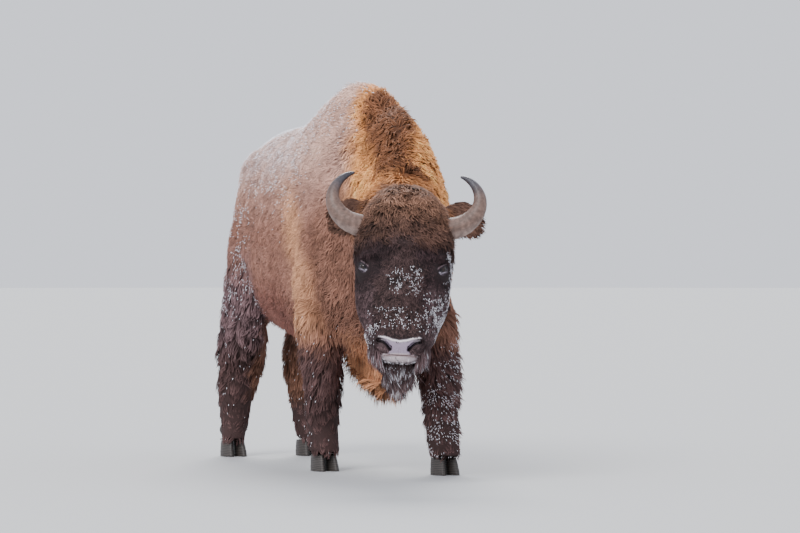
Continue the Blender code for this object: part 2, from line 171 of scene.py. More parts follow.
# Places on the body are told from the floor under the withers (spine in the plane x = 0, withers at
# y = 0), and places on the head in the head's own frame: x to its left, -y out of the face, z to the crown.
right_forefoot = middle("hoof_front_right_inner", "hoof_front_right_outer")
STAND = np.array((right_forefoot.x + 0.192, right_forefoot.y - 0.007, 0.0))
head_turn = Matrix.Rotation(YAW, 3, "Z") @ Matrix.Rotation(TILT, 3, "X") @ Matrix.Rotation(ROLL, 3, "Y")
between_eyes = Vector((0.0, LEFT_EYE[1], LEFT_EYE[2]))
HEAD_AXES = np.array(head_turn)
HEAD_PLACE = np.array(middle("eye_left", "eye_right") - head_turn @ between_eyes)


def on_body(places):
    return places - STAND


def on_head(places):
    return (places - HEAD_PLACE) @ HEAD_AXES


def from_head(places):
    return places @ HEAD_AXES.T + HEAD_PLACE


def on_left(head):
    """The same places on the head's left half."""
    return np.c_[np.abs(head[:, 0]), head[:, 1:]]


def raise_hide():
    """The fused hide, still out at the tips of the coat."""
    whole = twin_of(FLESH, "hide")
    for side in (-1, 1):
        for place, radius in ((HORN_BASE, HORN_BASE_RADIUS), (SOCKET, SOCKET_RADIUS)):
            new_ball("swelling", from_head(np.array((side, 1, 1)) * place), radius, 32, 16)
            whole.select_set(True)
            bpy.context.view_layer.objects.active = whole
            bpy.ops.object.join()
    shape_with(whole, "REMESH", mode="VOXEL", voxel_size=HIDE_WEAVE)
    shape_with(whole, "SMOOTH", factor=0.5, iterations=5)
    return whole


def shares_of_parts(mesh, places):
    """For each point of the hide, how much it belongs to each named part: 1 within it, softer at its edge."""
    groups = {"trunk": ["trunk"], "neck": ["neck"], "head": ["head"], "tail": ["tail"],
              "foreleg": ["foreleg_left", "foreleg_right"], "hindleg": ["hindleg_left", "hindleg_right"],
              "ear": ["ear_left", "ear_right"]}
    nearest = np.full((len(places), len(groups)), 1.0)
    graph = bpy.context.evaluated_depsgraph_get()
    for k, nodes in enumerate(groups.values()):
        for node in nodes:
            tree = BVHTree.FromObject(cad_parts[node], graph)
            low, high = (np.array(corner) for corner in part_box(node))
            near = np.flatnonzero(((places > low - 0.05) & (places < high + 0.05)).all(axis=1))
            for i in near:
                found = tree.find_nearest(places[i], 0.08)
                if found[3] is not None:
                    nearest[i, k] = min(nearest[i, k], found[3])
    shares = np.zeros_like(nearest)
    shares[np.arange(len(places)), nearest.argmin(axis=1)] = 1.0
    a, b = read(mesh.edges, "vertices", 2, np.int64).T
    count = np.bincount(a, minlength=len(places)) + np.bincount(b, minlength=len(places))
    for _ in range(3):
        for k in range(shares.shape[1]):
            around = np.bincount(a, shares[b, k], len(places)) + np.bincount(b, shares[a, k], len(places))
            shares[:, k] = 0.4 * shares[:, k] + 0.6 * around / np.maximum(count, 1)
    return dict(zip(groups, shares.T))


def crest_offset(body):
    """How far a point lies to the left of the crest, which follows the neck as it bends to the right."""
    ahead, bend = (0.05, 0.25, 0.39, 0.54, 0.67, 0.80), (0.02, 0.045, 0.067, 0.108, 0.157, 0.20)
    return body[:, 0] + np.interp(-body[:, 1], ahead, bend)


def mane_share(body, ahead=0.0):
    """1 in front of the line where the mane starts, which runs forward as it comes down the neck."""
    line = -0.094 - ahead - 0.70 * (1.597 - body[:, 2])
    spread = 0.04 + 0.24 * np.clip(1.55 - body[:, 2], 0, 0.5)
    behind_line = body[:, 1] - line + 0.5 * spread * mottle(body, 0.07, 6)
    return np.clip((0.5 * spread - behind_line) / (1.5 * spread), 0, 1) * ramp(body[:, 2], 0.94, 1.22)


def eye_distance(head):
    return np.linalg.norm(on_left(head) - LEFT_EYE, axis=1)


def beard_share(head, body):
    """1 in the beard, which hangs straight down from the chin."""
    below = ramp(body[:, 2], 0.520, 0.485)
    return below * ramp(np.abs(head[:, 0]), 0.15, 0.12) * ramp(head[:, 1], -0.06, -0.02)


def coat_depth(places, part):
    """How deep the coat stands over the hide, in metres."""
    body, head = on_body(places), on_head(places)
    height = body[:, 2]
    mane = ramp(-body[:, 1], -0.05, 0.30)
    crown = ramp(height, 1.30, 1.60)
    belly = ramp(height, 0.80, 0.62)
    trunk = 0.015 + 0.014 * mane + 0.010 * crown + 0.012 * belly
    forehead = ramp(head[:, 2], 0.045, 0.130)
    cheek = ramp(head[:, 1], 0.02, 0.12)
    muzzle = ramp(head[:, 2], -0.24, -0.32)
    front = 0.0100 + 0.016 * forehead - 0.0055 * muzzle
    face = front + (0.026 - front) * cheek
    face = np.where(beard_share(head, body) > 0.5, 0.030 + 0.022 * ramp(height, 0.46, 0.40), face)
    face = 0.0022 + (face - 0.0022) * ramp(eye_distance(head), 0.034, 0.075)
    foreleg = 0.009 + 0.018 * ramp(height, 0.16, 0.50)
    hindleg = 0.009 + 0.015 * ramp(height, 0.20, 0.60)
    tail = 0.013 + 0.016 * ramp(height, 0.86, 0.70) * ramp(height, 0.53, 0.60)
    return (part["trunk"] * trunk + part["neck"] * 0.031 + part["head"] * face + part["tail"] * tail
            + part["foreleg"] * foreleg + part["hindleg"] * hindleg + part["ear"] * 0.009)


hide = raise_hide()
hide_parts = shares_of_parts(hide.data, points_of(hide.data))
for name, share in hide_parts.items():
    keep(hide.data, "part_" + name, share)
depth = coat_depth(points_of(hide.data), hide_parts)
set_points(hide.data, points_of(hide.data) - normals_of(hide.data) * depth[:, None])
shape_with(hide, "SMOOTH", factor=0.5, iterations=2)


def divide_where(piece, chosen):
    """Divides the faces whose middles the function picks."""
    free_hands()
    piece.select_set(True)
    bpy.context.view_layer.objects.active = piece
    mesh = piece.data
    picked = chosen(read(mesh.polygons, "center", 3))
    mesh.vertices.foreach_set("select", np.zeros(len(mesh.vertices), bool))
    mesh.edges.foreach_set("select", np.zeros(len(mesh.edges), bool))
    mesh.polygons.foreach_set("select", picked)
    bpy.ops.object.mode_set(mode="EDIT")
    bpy.ops.mesh.select_mode(type="FACE")
    bpy.ops.mesh.subdivide(number_cuts=1, smoothness=0.6)
    bpy.ops.object.mode_set(mode="OBJECT")


def whole_face(centres):
    head = on_head(centres)
    near = np.linalg.norm(head - np.array((0, -0.04, -0.10)), axis=1) < 0.40
    return near & (head[:, 1] < 0.06) & (head[:, 2] < 0.10) & (head[:, 2] > -0.47)


def eyes_and_muzzle(centres):
    head = on_head(centres)
    muzzle = (head[:, 2] < -0.27) & (head[:, 1] < 0.03) & whole_face(centres)
    return muzzle | (eye_distance(head) < 0.058)


def lids_and_nostrils(centres):
    head = on_head(centres)
    nostrils = (np.abs(head[:, 0]) < 0.100) & (head[:, 2] < -0.310) & (head[:, 1] < -0.015)
    return (nostrils & whole_face(centres)) | (eye_distance(head) < 0.040)


for zone in (whole_face, eyes_and_muzzle, lids_and_nostrils):
    divide_where(hide, zone)

group = hide.vertex_groups.new(name="face")
near_face = np.flatnonzero(whole_face(points_of(hide.data)))
group.add(near_face.tolist(), 1.0, "REPLACE")
shape_with(hide, "SMOOTH", factor=0.5, iterations=6, vertex_group="face")


# ---- The face ---------------------------------------------------------------------------------------
# Lids that wrap the eyeballs, the bony brow over them, nostrils, the bare nose pad, lips and chin are
# modelled into the hide by moving its points, as a taxidermist works clay under the skin.

LOOK = np.array((0.74, -0.67, -0.05))              # where the left eye looks, in the head's frame
LOOK = LOOK / np.linalg.norm(LOOK)
SLIT = np.array((0.46, 0.66, 0.60))                # along the opening, from inner to outer corner
SLIT = SLIT - LOOK * (SLIT @ LOOK)
SLIT = SLIT / np.linalg.norm(SLIT)
LID_UP = np.cross(LOOK, SLIT)
LID_UP = LID_UP * np.sign(LID_UP[2])
SLIT_REACH, SLIT_RISE, SLIT_FALL = 0.0225, 0.0082, 0.0064      # half the opening's length, and its heights


def beside_slit(away):
    """Places round the eye, along its opening and up across it, and 1 or more outside the lids' edge."""
    along, up = away @ SLIT, away @ LID_UP
    height = np.where(up > 0, SLIT_RISE, SLIT_FALL) * (1 - 0.45 * np.clip(along / SLIT_REACH, -1, 1) ** 2)
    return along, up, np.sqrt((along / SLIT_REACH) ** 2 + (up / height) ** 2)


def wrap_lids(head):
    """Draws the hide round the eyeball and opens the lids; tear duct and folds are pressed in beside them."""
    side = np.where(head[:, 0] < 0, -1.0, 1.0)
    away = on_left(head) - LEFT_EYE
    reach = np.linalg.norm(away, axis=1)
    toward = away / np.maximum(reach, 1e-6)[:, None]
    along, up, edge = beside_slit(away)
    out = toward @ LOOK
    wide = ramp(np.abs(along), 0.034, 0.018)
    lid = EYE_RADIUS + 0.0020 + 0.0014 * ramp(edge, 1.0, 1.8)
    lid = lid + 0.0032 * bell(up + 0.0118, 0.0045) * wide
    lid = lid - 0.0036 * bell(up - 0.0132 + 6 * along ** 2, 0.0022) * wide
    lid = lid - 0.0024 * bell(up + 0.0195 - 10 * along ** 2, 0.0026) * wide
    lid = lid + 0.0062 * bell(up - 0.0200 + 4 * along ** 2, 0.0050) * ramp(np.abs(along), 0.044, 0.028)
    duct = bell(up, 0.0022) * ramp(along, -0.0205, -0.0235) * ramp(along, -0.040, -0.031)
    corner = bell(up - 0.002, 0.0022) * ramp(along, 0.0205, 0.0235) * ramp(along, 0.036, 0.029)
    closed = np.where(edge < 1.0, EYE_RADIUS - 0.0050 * ramp(edge, 1.0, 0.80), lid)
    near = ramp(reach, 0.046, 0.028) * ramp(out, 0.05, 0.40)
    moved = LEFT_EYE + toward * (reach + (closed - reach) * near)[:, None]
    moved = moved - LOOK * (0.0045 * duct + 0.0025 * corner)[:, None] * ramp(out, 0.05, 0.40)[:, None]
    return np.c_[moved[:, 0] * side, moved[:, 1:]]


def push(head, centre, radii, amount):
    """How far a soft swelling of this middle and reach lifts each point; both sides alike."""
    away = (on_left(head) - np.array(centre)) / np.array(radii)
    return amount * np.exp(-(away ** 2).sum(axis=1))


def beside(points_xz, route):
    """Distance to a bent line in the x-z plane, and how far along it the nearest place is, 0 to 1."""
    best, share = np.full(len(points_xz), 9.0), np.zeros(len(points_xz))
    route = np.array(route)
    for k in range(len(route) - 1):
        a, b = route[k], route[k + 1]
        t = np.clip(((points_xz - a) @ (b - a)) / ((b - a) @ (b - a)), 0, 1)
        gap = np.linalg.norm(points_xz - a - t[:, None] * (b - a), axis=1)
        share = np.where(gap < best, (k + t) / (len(route) - 1), share)
        best = np.minimum(best, gap)
    return best, share


NOSTRIL = ((0.079, -0.337), (0.066, -0.341), (0.049, -0.355), (0.036, -0.374))     # from its wing to its foot
PAD_OUT = (0.0, 0.030, 0.056, 0.082)                # upper edge of the nose pad, outward from the middle
PAD_TOP = (-0.342, -0.337, -0.327, -0.321)          # and how high it runs there
PAD_DOWN = (0.330, 0.345, 0.362, 0.378, 0.392)      # levels down the pad
PAD_HALF = (0.080, 0.056, 0.031, 0.034, 0.052)      # and half its width there
MOUTH_HEIGHT = -0.398                               # of the lip line in front, in the head's frame


def bare_shares(head):
    """Where the nose pad, its pale upper edge, the nostril holes and the lips are, each 0 to 1."""
    out, level = np.abs(head[:, 0]), head[:, 2]
    front = ramp(head[:, 1], 0.02, -0.03)
    hole, along = beside(np.c_[out, level], NOSTRIL)
    width = 0.0105 - 0.0030 * along
    nostril = ramp(hole, width, 0.45 * width) * front
    upper = np.interp(out, PAD_OUT, PAD_TOP)
    half_width = np.interp(-level, PAD_DOWN, PAD_HALF)
    pad = ramp(level, upper + 0.002, upper - 0.002) * ramp(out, half_width + 0.003, half_width - 0.003)
    pad = pad * front * ramp(level, -0.400, -0.394)
    rim = bell(level - upper + 0.002, 0.0044) * ramp(out, 0.092, 0.076) * front
    lip_edge = -0.424 + 3.4 * out ** 2
    lips = ramp(level, -0.386, -0.393) * ramp(level, lip_edge, lip_edge + 0.008)
    lips = lips * ramp(out, 0.086, 0.070) * front
    return pad, rim, nostril, lips


SWELLINGS = (
    # middle, reach along each axis, lift
    ((0.140, -0.090, 0.034), (0.036, 0.045, 0.020), 0.0120),      # bony brow
    ((0.112, -0.110, -0.030), (0.026, 0.040, 0.040), -0.0080),    # hollow before the eye
    ((0.135, -0.075, -0.085), (0.030, 0.050, 0.032), -0.0060),    # hollow under it
    ((0.075, -0.115, -0.200), (0.030, 0.045, 0.070), -0.0060),    # side of the nose
    ((0.000, -0.125, -0.120), (0.050, 0.045, 0.130), 0.0070),     # bridge
    ((0.066, -0.100, -0.312), (0.024, 0.035, 0.016), 0.0080),     # over the nostril
    ((0.072, -0.085, -0.360), (0.024, 0.035, 0.022), 0.0070),     # upper lip
    ((0.000, -0.080, -0.412), (0.045, 0.030, 0.012), 0.0060),     # chin
    ((0.092, -0.085, -0.338), (0.014, 0.035, 0.018), 0.0060),     # wing of the nostril
)


def model_face(head, share):
    """Brow, cheek and muzzle over the head's bones, then nostrils and lips, then the lids."""
    lift = sum(push(head, *swelling) for swelling in SWELLINGS)
    pad, rim, nostril, lips = bare_shares(head)
    across, back, level = head.T
    mouth = level - (MOUTH_HEIGHT + 1.9 * np.clip(back + 0.075, 0, 0.06))
    groove = bell(mouth, 0.0030) * ramp(back, 0.035, 0.010) * ramp(level, -0.30, -0.34)
    cleft = bell(across, 0.0022) * ramp(level, -0.362, -0.376) * ramp(level, -0.398, -0.392)
    lift += 0.0022 * pad + 0.0034 * rim + 0.0020 * lips - 0.0060 * groove * share - 0.0020 * cleft
    return lift * share, nostril * share


skin_places = points_of(hide.data)
skin_normals = normals_of(hide.data)
head_share = read(hide.data.attributes["part_head"].data, "value", kind=np.float32)
head_share = np.where(np.linalg.norm(on_head(skin_places), axis=1) < 0.55, head_share, 0)
lift, nostril = model_face(on_head(skin_places), head_share)
skin_places = skin_places + skin_normals * lift[:, None]
inward = HEAD_AXES @ np.array((0.0, 0.85, 0.50))
skin_places = skin_places + 0.030 * nostril[:, None] * inward
lidded = from_head(wrap_lids(on_head(skin_places)))
skin_places = np.where((head_share > 0.3)[:, None], lidded, skin_places)
set_points(hide.data, skin_places)
hide.data.shade_smooth()


# ---- The colours of the coat ------------------------------------------------------------------------
# Winter coat of a wisent: tan flanks, a dark mane edged with gold that is partly painted backlit glow, a
# nearly black face, tawny brisket and dark brown legs. Hide and hair take their colour from the same
# function, so the markings agree.

COAT = {
    # name: (colour at the root, colour at the tip)
    "flank": ((0.130, 0.058, 0.039), (0.375, 0.182, 0.132)),
    # pale top of the body: partly the pale winter coat, partly painted light falling from above
    "hump": ((0.350, 0.190, 0.138), (0.900, 0.560, 0.445)),
    "shoulder": ((0.120, 0.052, 0.033), (0.295, 0.142, 0.098)),
    "band": ((0.280, 0.118, 0.056), (0.900, 0.450, 0.235)),
    # the mane's golden edge: partly golden hair, partly painted backlit glow of light through the fringe
    "gold_and_backlit_glow": ((0.500, 0.150, 0.038), (1.000, 0.435, 0.148)),
    "mane": ((0.045, 0.016, 0.007), (0.270, 0.108, 0.050)),
    "forehead": ((0.012, 0.005, 0.004), (0.370, 0.190, 0.122)),
    "brow": ((0.004, 0.002, 0.002), (0.170, 0.088, 0.064)),
    # face and bridge: near-black roots are partly the hair's own dark base, partly painted shade in the gaps
    # between clumps
    "face": ((0.004, 0.0025, 0.0030), (0.058, 0.033, 0.035)),
    "bridge": ((0.003, 0.0020, 0.0022), (0.112, 0.066, 0.063)),
    "cheek": ((0.014, 0.008, 0.009), (0.220, 0.140, 0.145)),
    "leg": ((0.012, 0.006, 0.005), (0.152, 0.084, 0.080)),
    "thigh": ((0.028, 0.015, 0.015), (0.270, 0.165, 0.172)),
    "brisket": ((0.240, 0.095, 0.045), (0.800, 0.380, 0.200)),
    "belly": ((0.095, 0.040, 0.030), (0.290, 0.120, 0.092)),
    "beard": ((0.050, 0.024, 0.023), (0.270, 0.190, 0.190)),
    "ear": ((0.030, 0.014, 0.011), (0.180, 0.095, 0.068)),
    "hoar": ((0.300, 0.240, 0.240), (0.800, 0.750, 0.800)),
}
FROST = np.array((0.88, 0.86, 0.92))


def blend(below, above, share):
    return below + (above - below) * share[..., None]


def coat_colours(places, part):
    """Root and tip colour of the hair at each place."""
    body, head = on_body(places), on_head(places)
    height, behind = body[:, 2], body[:, 1]
    beside_line, depth, level = np.abs(head[:, 0]), head[:, 1], head[:, 2]
    aside = np.abs(crest_offset(body) - 0.010)
    patches = mottle(places, 0.11, 3)
    fine = mottle(places, 0.035, 4)
    edge = 0.022 * patches + 0.014 * fine
    band = (behind - 0.01 - 0.75 * np.clip(height - 0.90, 0, 1) + edge) / 0.105
    low = ramp(height, 0.66, 0.54) * ramp(behind, 0.32, 0.20) * (1 - part["foreleg"] - part["hindleg"])
    rear = np.maximum(part["hindleg"], part["trunk"] * ramp(behind, 0.66, 0.84))
    inner = ramp(np.abs(body[:, 0]), 0.150, 0.100)
    on = ramp(part["head"], 0.35, 0.65)
    rise = level + edge
    middle_line = ramp(beside_line, 0.11, 0.07)
    dark = ramp(rise + 0.12 * (beside_line - 0.1), 0.125, 0.075)
    jaw = ramp(depth + edge, 0.150, 0.100)
    half = np.interp(-level, (-0.10, 0.0, 0.10, 0.25, 0.34), (0.050, 0.062, 0.098, 0.105, 0.080))
    bridge = ramp(beside_line + 1.2 * edge, half + 0.020, half - 0.020) * ramp(rise, 0.16, 0.08)
    cheek = ramp(level, -0.06, -0.13) * ramp(beside_line, 0.085, 0.125) * jaw
    wing = ramp(level, -0.340, -0.356) * ramp(beside_line, 0.030, 0.045) * ramp(depth, 0.02, -0.02)
    layers = (
        # each lies over those before it: first the body and the legs, then the head from the crown down
        # lighter towards the top: partly pale coat, partly painted light from above
        ("hump", ramp(height, 1.02, 1.45) * (0.80 + 0.20 * patches)),
        ("shoulder", ramp(behind, -0.02, -0.16) * ramp(height, 1.30, 1.00)),
        ("band", 0.75 * np.exp(-band ** 2) * ramp(height, 0.56, 0.72) * ramp(height, 1.35, 1.10)),
        # gold round the mane: partly golden hair, partly painted backlit glow
        ("gold_and_backlit_glow", mane_share(body)),
        ("mane", mane_share(body, 0.055) * ramp(aside + edge, 0.095, 0.035) * ramp(height, 1.68, 1.61)),
        ("brisket", low),
        ("leg", part["foreleg"] * ramp(height + edge, 0.64, 0.50)),
        ("leg", rear * ramp(height + 0.05 * patches, 0.88, 0.68)),
        ("thigh", rear * ramp(height + 0.06 * patches, 1.08, 0.74) * ramp(height, 0.45, 0.62)),
        ("brisket", 0.30 * part["hindleg"] * inner * ramp(height, 0.22, 0.34)),
        ("leg", part["tail"] * ramp(height, 1.25, 0.95)),
        ("belly", part["trunk"] * ramp(height, 0.92, 0.68) * ramp(behind, 0.15, 0.40)),
        ("hoar", 0.55 * ramp(behind, 0.0, 0.55) * ramp(height, 1.18, 1.42) * (0.7 + 0.5 * fine)),
        # gold on the crown: partly golden hair, partly painted backlit glow
        ("gold_and_backlit_glow", on * ramp(rise, 0.25, 0.34)),
        ("mane", 0.30 * on * ramp(rise, 0.27, 0.34)),
        ("mane", on * ramp(rise, 0.40, 0.46) * middle_line),
        ("forehead", on * ramp(rise - 0.05 * middle_line, 0.400, 0.290) * ramp(depth, 0.16, 0.10)),
        ("brow", on * ramp(rise, 0.25, 0.15) * ramp(depth, 0.12, 0.05)),
        ("face", on * dark * jaw),
        ("bridge", on * bridge * ramp(level, -0.34, -0.28) * jaw),
        ("cheek", 0.6 * on * cheek),
        ("cheek", on * wing),
        ("mane", on * (1 - jaw) * ramp(level, 0.28, 0.18)),
        ("beard", on * beard_share(head, body)),
        ("hoar", on * bare_shares(head)[3]),
        ("ear", part["ear"]),
    )
    coat = np.array(COAT["flank"])
    for name, share in layers:
        coat = blend(coat, np.array(COAT[name]), np.clip(share, 0, 1)[:, None])
    return coat * (1 + 0.14 * patches + 0.10 * fine)[:, None, None]


def frost_share(places, part, normals):
    """How much of the coat has white tips: back, rump, hump, left foreleg, nose, cheeks and lips."""
    body, head = on_body(places), on_head(places)
    height, behind = body[:, 2], body[:, 1]
    up = np.clip(normals[:, 2], 0, 1)
    back = 0.34 * ramp(behind, -0.05, 0.30) * (0.12 + 0.88 * up) * ramp(height, 0.95, 1.30)
    rump = 0.16 * ramp(behind, 0.70, 1.00) * ramp(height, 0.55, 0.80)
    hump = 0.12 * ramp(height, 1.30, 1.60) * ramp(behind, -0.30, -0.05)
    on = ramp(part["head"], 0.4, 0.6)
    across, level, depth = head[:, 0], head[:, 2], head[:, 1]
    centre = 0.60 * ramp(np.abs(across - 0.015), 0.085, 0.035)
    centre = centre * ramp(level, -0.020, -0.055) * ramp(level, -0.165, -0.110)
    over_nose = 0.42 * ramp(np.abs(across + 0.015), 0.125, 0.095) * ramp(level, -0.190, -0.215)
    nose = np.maximum(centre, over_nose * ramp(level, -0.300, -0.275)) * ramp(depth, 0.0, -0.05)
    left = 0.90 * ramp(across, 0.050, 0.100) * ramp(level, -0.120, -0.170) * ramp(level, -0.315, -0.270)
    left_edge = 0.85 * ramp(across, 0.160, 0.176) * ramp(level, 0.070, 0.040) * ramp(level, -0.20, -0.15)
    left = np.maximum(left, left_edge) * ramp(depth, 0.09, 0.02)
    right = 0.70 * ramp(-across, 0.092, 0.112) * ramp(level, -0.250, -0.280) * ramp(depth, 0.10, 0.02)
    lip = 0.95 * ramp(level, -0.392, -0.408) * ramp(depth, 0.06, 0.0)
    legs = 0.020 * (part["foreleg"] + part["hindleg"]) * ramp(height, 0.75, 0.50)
    front_leg = 0.24 * part["foreleg"] * ramp(body[:, 0], 0.05, 0.12) * ramp(height, 0.62, 0.50)
    share = np.maximum.reduce([back, rump, hump, legs, front_leg]) * (1 - on)
    share = share + on * np.maximum.reduce([nose, left, right, lip]) * ramp(eye_distance(head), 0.036, 0.048)
    drifts = np.clip(0.5 + 1.3 * mottle(places, 0.045, 9), 0, 2)
    drifts = np.where(on > 0.5, np.clip(0.75 + 0.85 * mottle(places, 0.028, 9), 0.1, 2), drifts)
    return share * drifts * np.clip(0.8 + 1.4 * mottle(places, 0.016, 10), 0.1, 2)


def keep_colour(mesh, name, colours):
    keep(mesh, name, np.c_[np.clip(colours, 0, 1), np.ones(len(colours))], "FLOAT_COLOR")


skin_parts = {name: read(hide.data.attributes["part_" + name].data, "value", kind=np.float32).astype(float)
              for name in hide_parts}
skin_places = points_of(hide.data)
skin_head = on_head(skin_places)
pad, rim, nostril, lips = (share * head_share for share in bare_shares(skin_head))
along_lid, up_lid, lid_edge = beside_slit(on_left(skin_head) - LEFT_EYE)
by_eye = ramp(eye_distance(skin_head), 0.037, 0.031) * head_share
bag = bell(up_lid + 0.0165 - 10 * along_lid ** 2, 0.0050) * ramp(np.abs(along_lid), 0.034, 0.018)
# painted highlight: a light line along the brow fold above the eye, where light catches the ridge
brow_fold_highlight = bell(up_lid - 0.0185 + 4 * along_lid ** 2, 0.0028) * ramp(np.abs(along_lid), 0.048, 0.034)
# painted highlight: the pale shine along the wet edge of the lower lid
lower_lid_highlight = bell(up_lid + 0.0092, 0.0022) * ramp(along_lid, 0.012, -0.010) * ramp(along_lid, -0.032, -0.026)
# painted highlight: a bright bluish-white glint in the wet inner corner of the eye
inner_corner_highlight = bell(along_lid + 0.0255, 0.0050) * bell(up_lid + 0.0020, 0.0032)
seam = bell(skin_head[:, 2] - MOUTH_HEIGHT - 0.002, 0.0040) * ramp(np.abs(skin_head[:, 0]), 0.072, 0.060)
seam = seam * ramp(skin_head[:, 1], -0.04, -0.07) * head_share
skin_layers = (
    ((0.020, 0.014, 0.018), ramp(lid_edge, 2.8, 2.0) * by_eye),           # thinly haired lids
    ((0.120, 0.094, 0.112), 0.9 * bag * by_eye),
    # painted highlight along the brow fold
    ((0.175, 0.125, 0.138), 0.9 * brow_fold_highlight * by_eye),
    ((0.006, 0.005, 0.006), ramp(lid_edge, 1.50, 1.20) * by_eye),         # their bare black edge
    # painted highlight on the lower lid
    ((0.250, 0.220, 0.265), lower_lid_highlight * by_eye),
    # painted highlight in the inner corner of the eye
    ((0.480, 0.430, 0.500), inner_corner_highlight * by_eye),
    ((0.330, 0.260, 0.340), pad),
    ((0.860, 0.780, 0.810), np.clip(rim * 1.2, 0, 1)),
    ((0.500, 0.420, 0.440), lips),
    ((0.160, 0.085, 0.080), 0.8 * seam),
    ((0.012, 0.009, 0.010), np.clip(nostril * 1.5, 0, 1)),
)
roots_and_tips = coat_colours(skin_places, skin_parts)
colour = 0.65 * roots_and_tips[:, 0] + 0.25 * roots_and_tips[:, 1]
for tone, share in skin_layers:
    colour = blend(colour, np.array(tone), share)
keep_colour(hide.data, "coat", colour)
bare = np.clip(np.maximum.reduce([pad, rim, nostril, 0.9 * ramp(lid_edge, 1.8, 1.2) * by_eye]), 0, 1)
keep(hide.data, "bare", bare)
keep(hide.data, "pad", pad)


def set_inputs(node, values):
    for name, value in values.items():
        node.inputs[name].default_value = value


def new_finish(name, values):
    """A material with these values in its shader, and its node tree to hand."""
    made = bpy.data.materials.new(name)
    made.use_nodes = True
    shader = made.node_tree.nodes["Principled BSDF"]
    set_inputs(shader, values)
    return made, made.node_tree, shader


def add_node(tree, kind, values=None, **settings):
    node = tree.nodes.new("ShaderNode" + kind)
    for key, value in settings.items():
        setattr(node, key, value)
    set_inputs(node, values or {})
    return node


def stored(tree, name, output="Fac"):
    """What an attribute of the mesh holds."""
    return add_node(tree, "Attribute", attribute_name=name).outputs[output]


def texture(tree, kind, where, values, output="Fac", **settings):
    node = add_node(tree, "Tex" + kind, values, **settings)
    tree.links.new(where, node.inputs["Vector"])
    return node.outputs[output]


def carried(tree, value, low, high, from_low=0.0, from_high=1.0):
    """The value carried over to the range from low to high."""
    node = add_node(tree, "MapRange", {"From Min": from_low, "From Max": from_high,
                                       "To Min": low, "To Max": high})
    tree.links.new(value, node.inputs["Value"])
    return node.outputs["Result"]


def shaded(tree, colour, share):
    """The colour made darker or lighter."""
    node = add_node(tree, "VectorMath", operation="SCALE")
    tree.links.new(colour, node.inputs[0])
    tree.links.new(share, node.inputs["Scale"])
    return node.outputs["Vector"]


def embossed(tree, height, strength, distance):
    node = add_node(tree, "Bump", {"Strength": strength, "Distance": distance})
    tree.links.new(height, node.inputs["Height"])
    return node.outputs["Normal"]


def hide_finish():
    """Short flat under-hair over skin, and the damp, pebbled pad of the nose."""
    made, tree, shader = new_finish("hide", {"Specular IOR Level": 0.25})
    link = tree.links.new
    place = add_node(tree, "TexCoord").outputs["Object"]
    hairs = texture(tree, "Noise", place, {"Scale": 260, "Detail": 3})
    pebbles = texture(tree, "Voronoi", place, {"Scale": 420}, "Distance")
    tint = shaded(tree, stored(tree, "coat", "Color"), carried(tree, hairs, 0.65, 1.30))
    link(tint, shader.inputs["Base Color"])
    link(carried(tree, stored(tree, "bare"), 0.85, 0.38), shader.inputs["Roughness"])
    relief = add_node(tree, "Mix", data_type="FLOAT")
    link(stored(tree, "pad"), relief.inputs["Factor"])
    link(hairs, relief.inputs[2])
    link(pebbles, relief.inputs[3])
    link(embossed(tree, relief.outputs[0], 0.45, 0.0015), shader.inputs["Normal"])
    return made


def unwrap(piece):
    """Opens the piece's surface flat, cut along its own folds."""
    free_hands()
    piece.select_set(True)
    bpy.context.view_layer.objects.active = piece
    piece.data.uv_layers.new(name="OFBake")
    bpy.ops.object.mode_set(mode="EDIT")
    bpy.ops.mesh.select_all(action="SELECT")
    bpy.ops.uv.smart_project(angle_limit=math.radians(66), island_margin=0.001)
    bpy.ops.object.mode_set(mode="OBJECT")


unwrap(hide)
hide.data.materials.append(hide_finish())
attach(hide, "root")
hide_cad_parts(*FLESH)


# ---- The eyes ---------------------------------------------------------------------------------------
# Glass eyes, as a taxidermist sets them: a dark brown iris with a long level pupil under a clear domed
# cornea, in a ball that the lids hold.


def eye_finish():
    made, tree, shader = new_finish("eye_glass", {"Roughness": 0.10, "Specular IOR Level": 0.0,
                                                  "Coat Weight": 0.80, "Coat Roughness": 0.03})
    bands = add_node(tree, "ValToRGB")
    stops = bands.color_ramp.elements
    stops[0].position, stops[0].color = 0.26, (0.004, 0.003, 0.004, 1)
    stops[1].position, stops[1].color = 0.34, (0.022, 0.010, 0.006, 1)
    for position, tone in ((0.56, (0.010, 0.005, 0.004, 1)), (0.62, (0.006, 0.005, 0.006, 1)),
                           (0.80, (0.020, 0.014, 0.015, 1))):
        stops.new(position).color = tone
    tree.links.new(stored(tree, "ring"), bands.inputs["Fac"])
    tree.links.new(bands.outputs["Color"], shader.inputs["Base Color"])
    return made


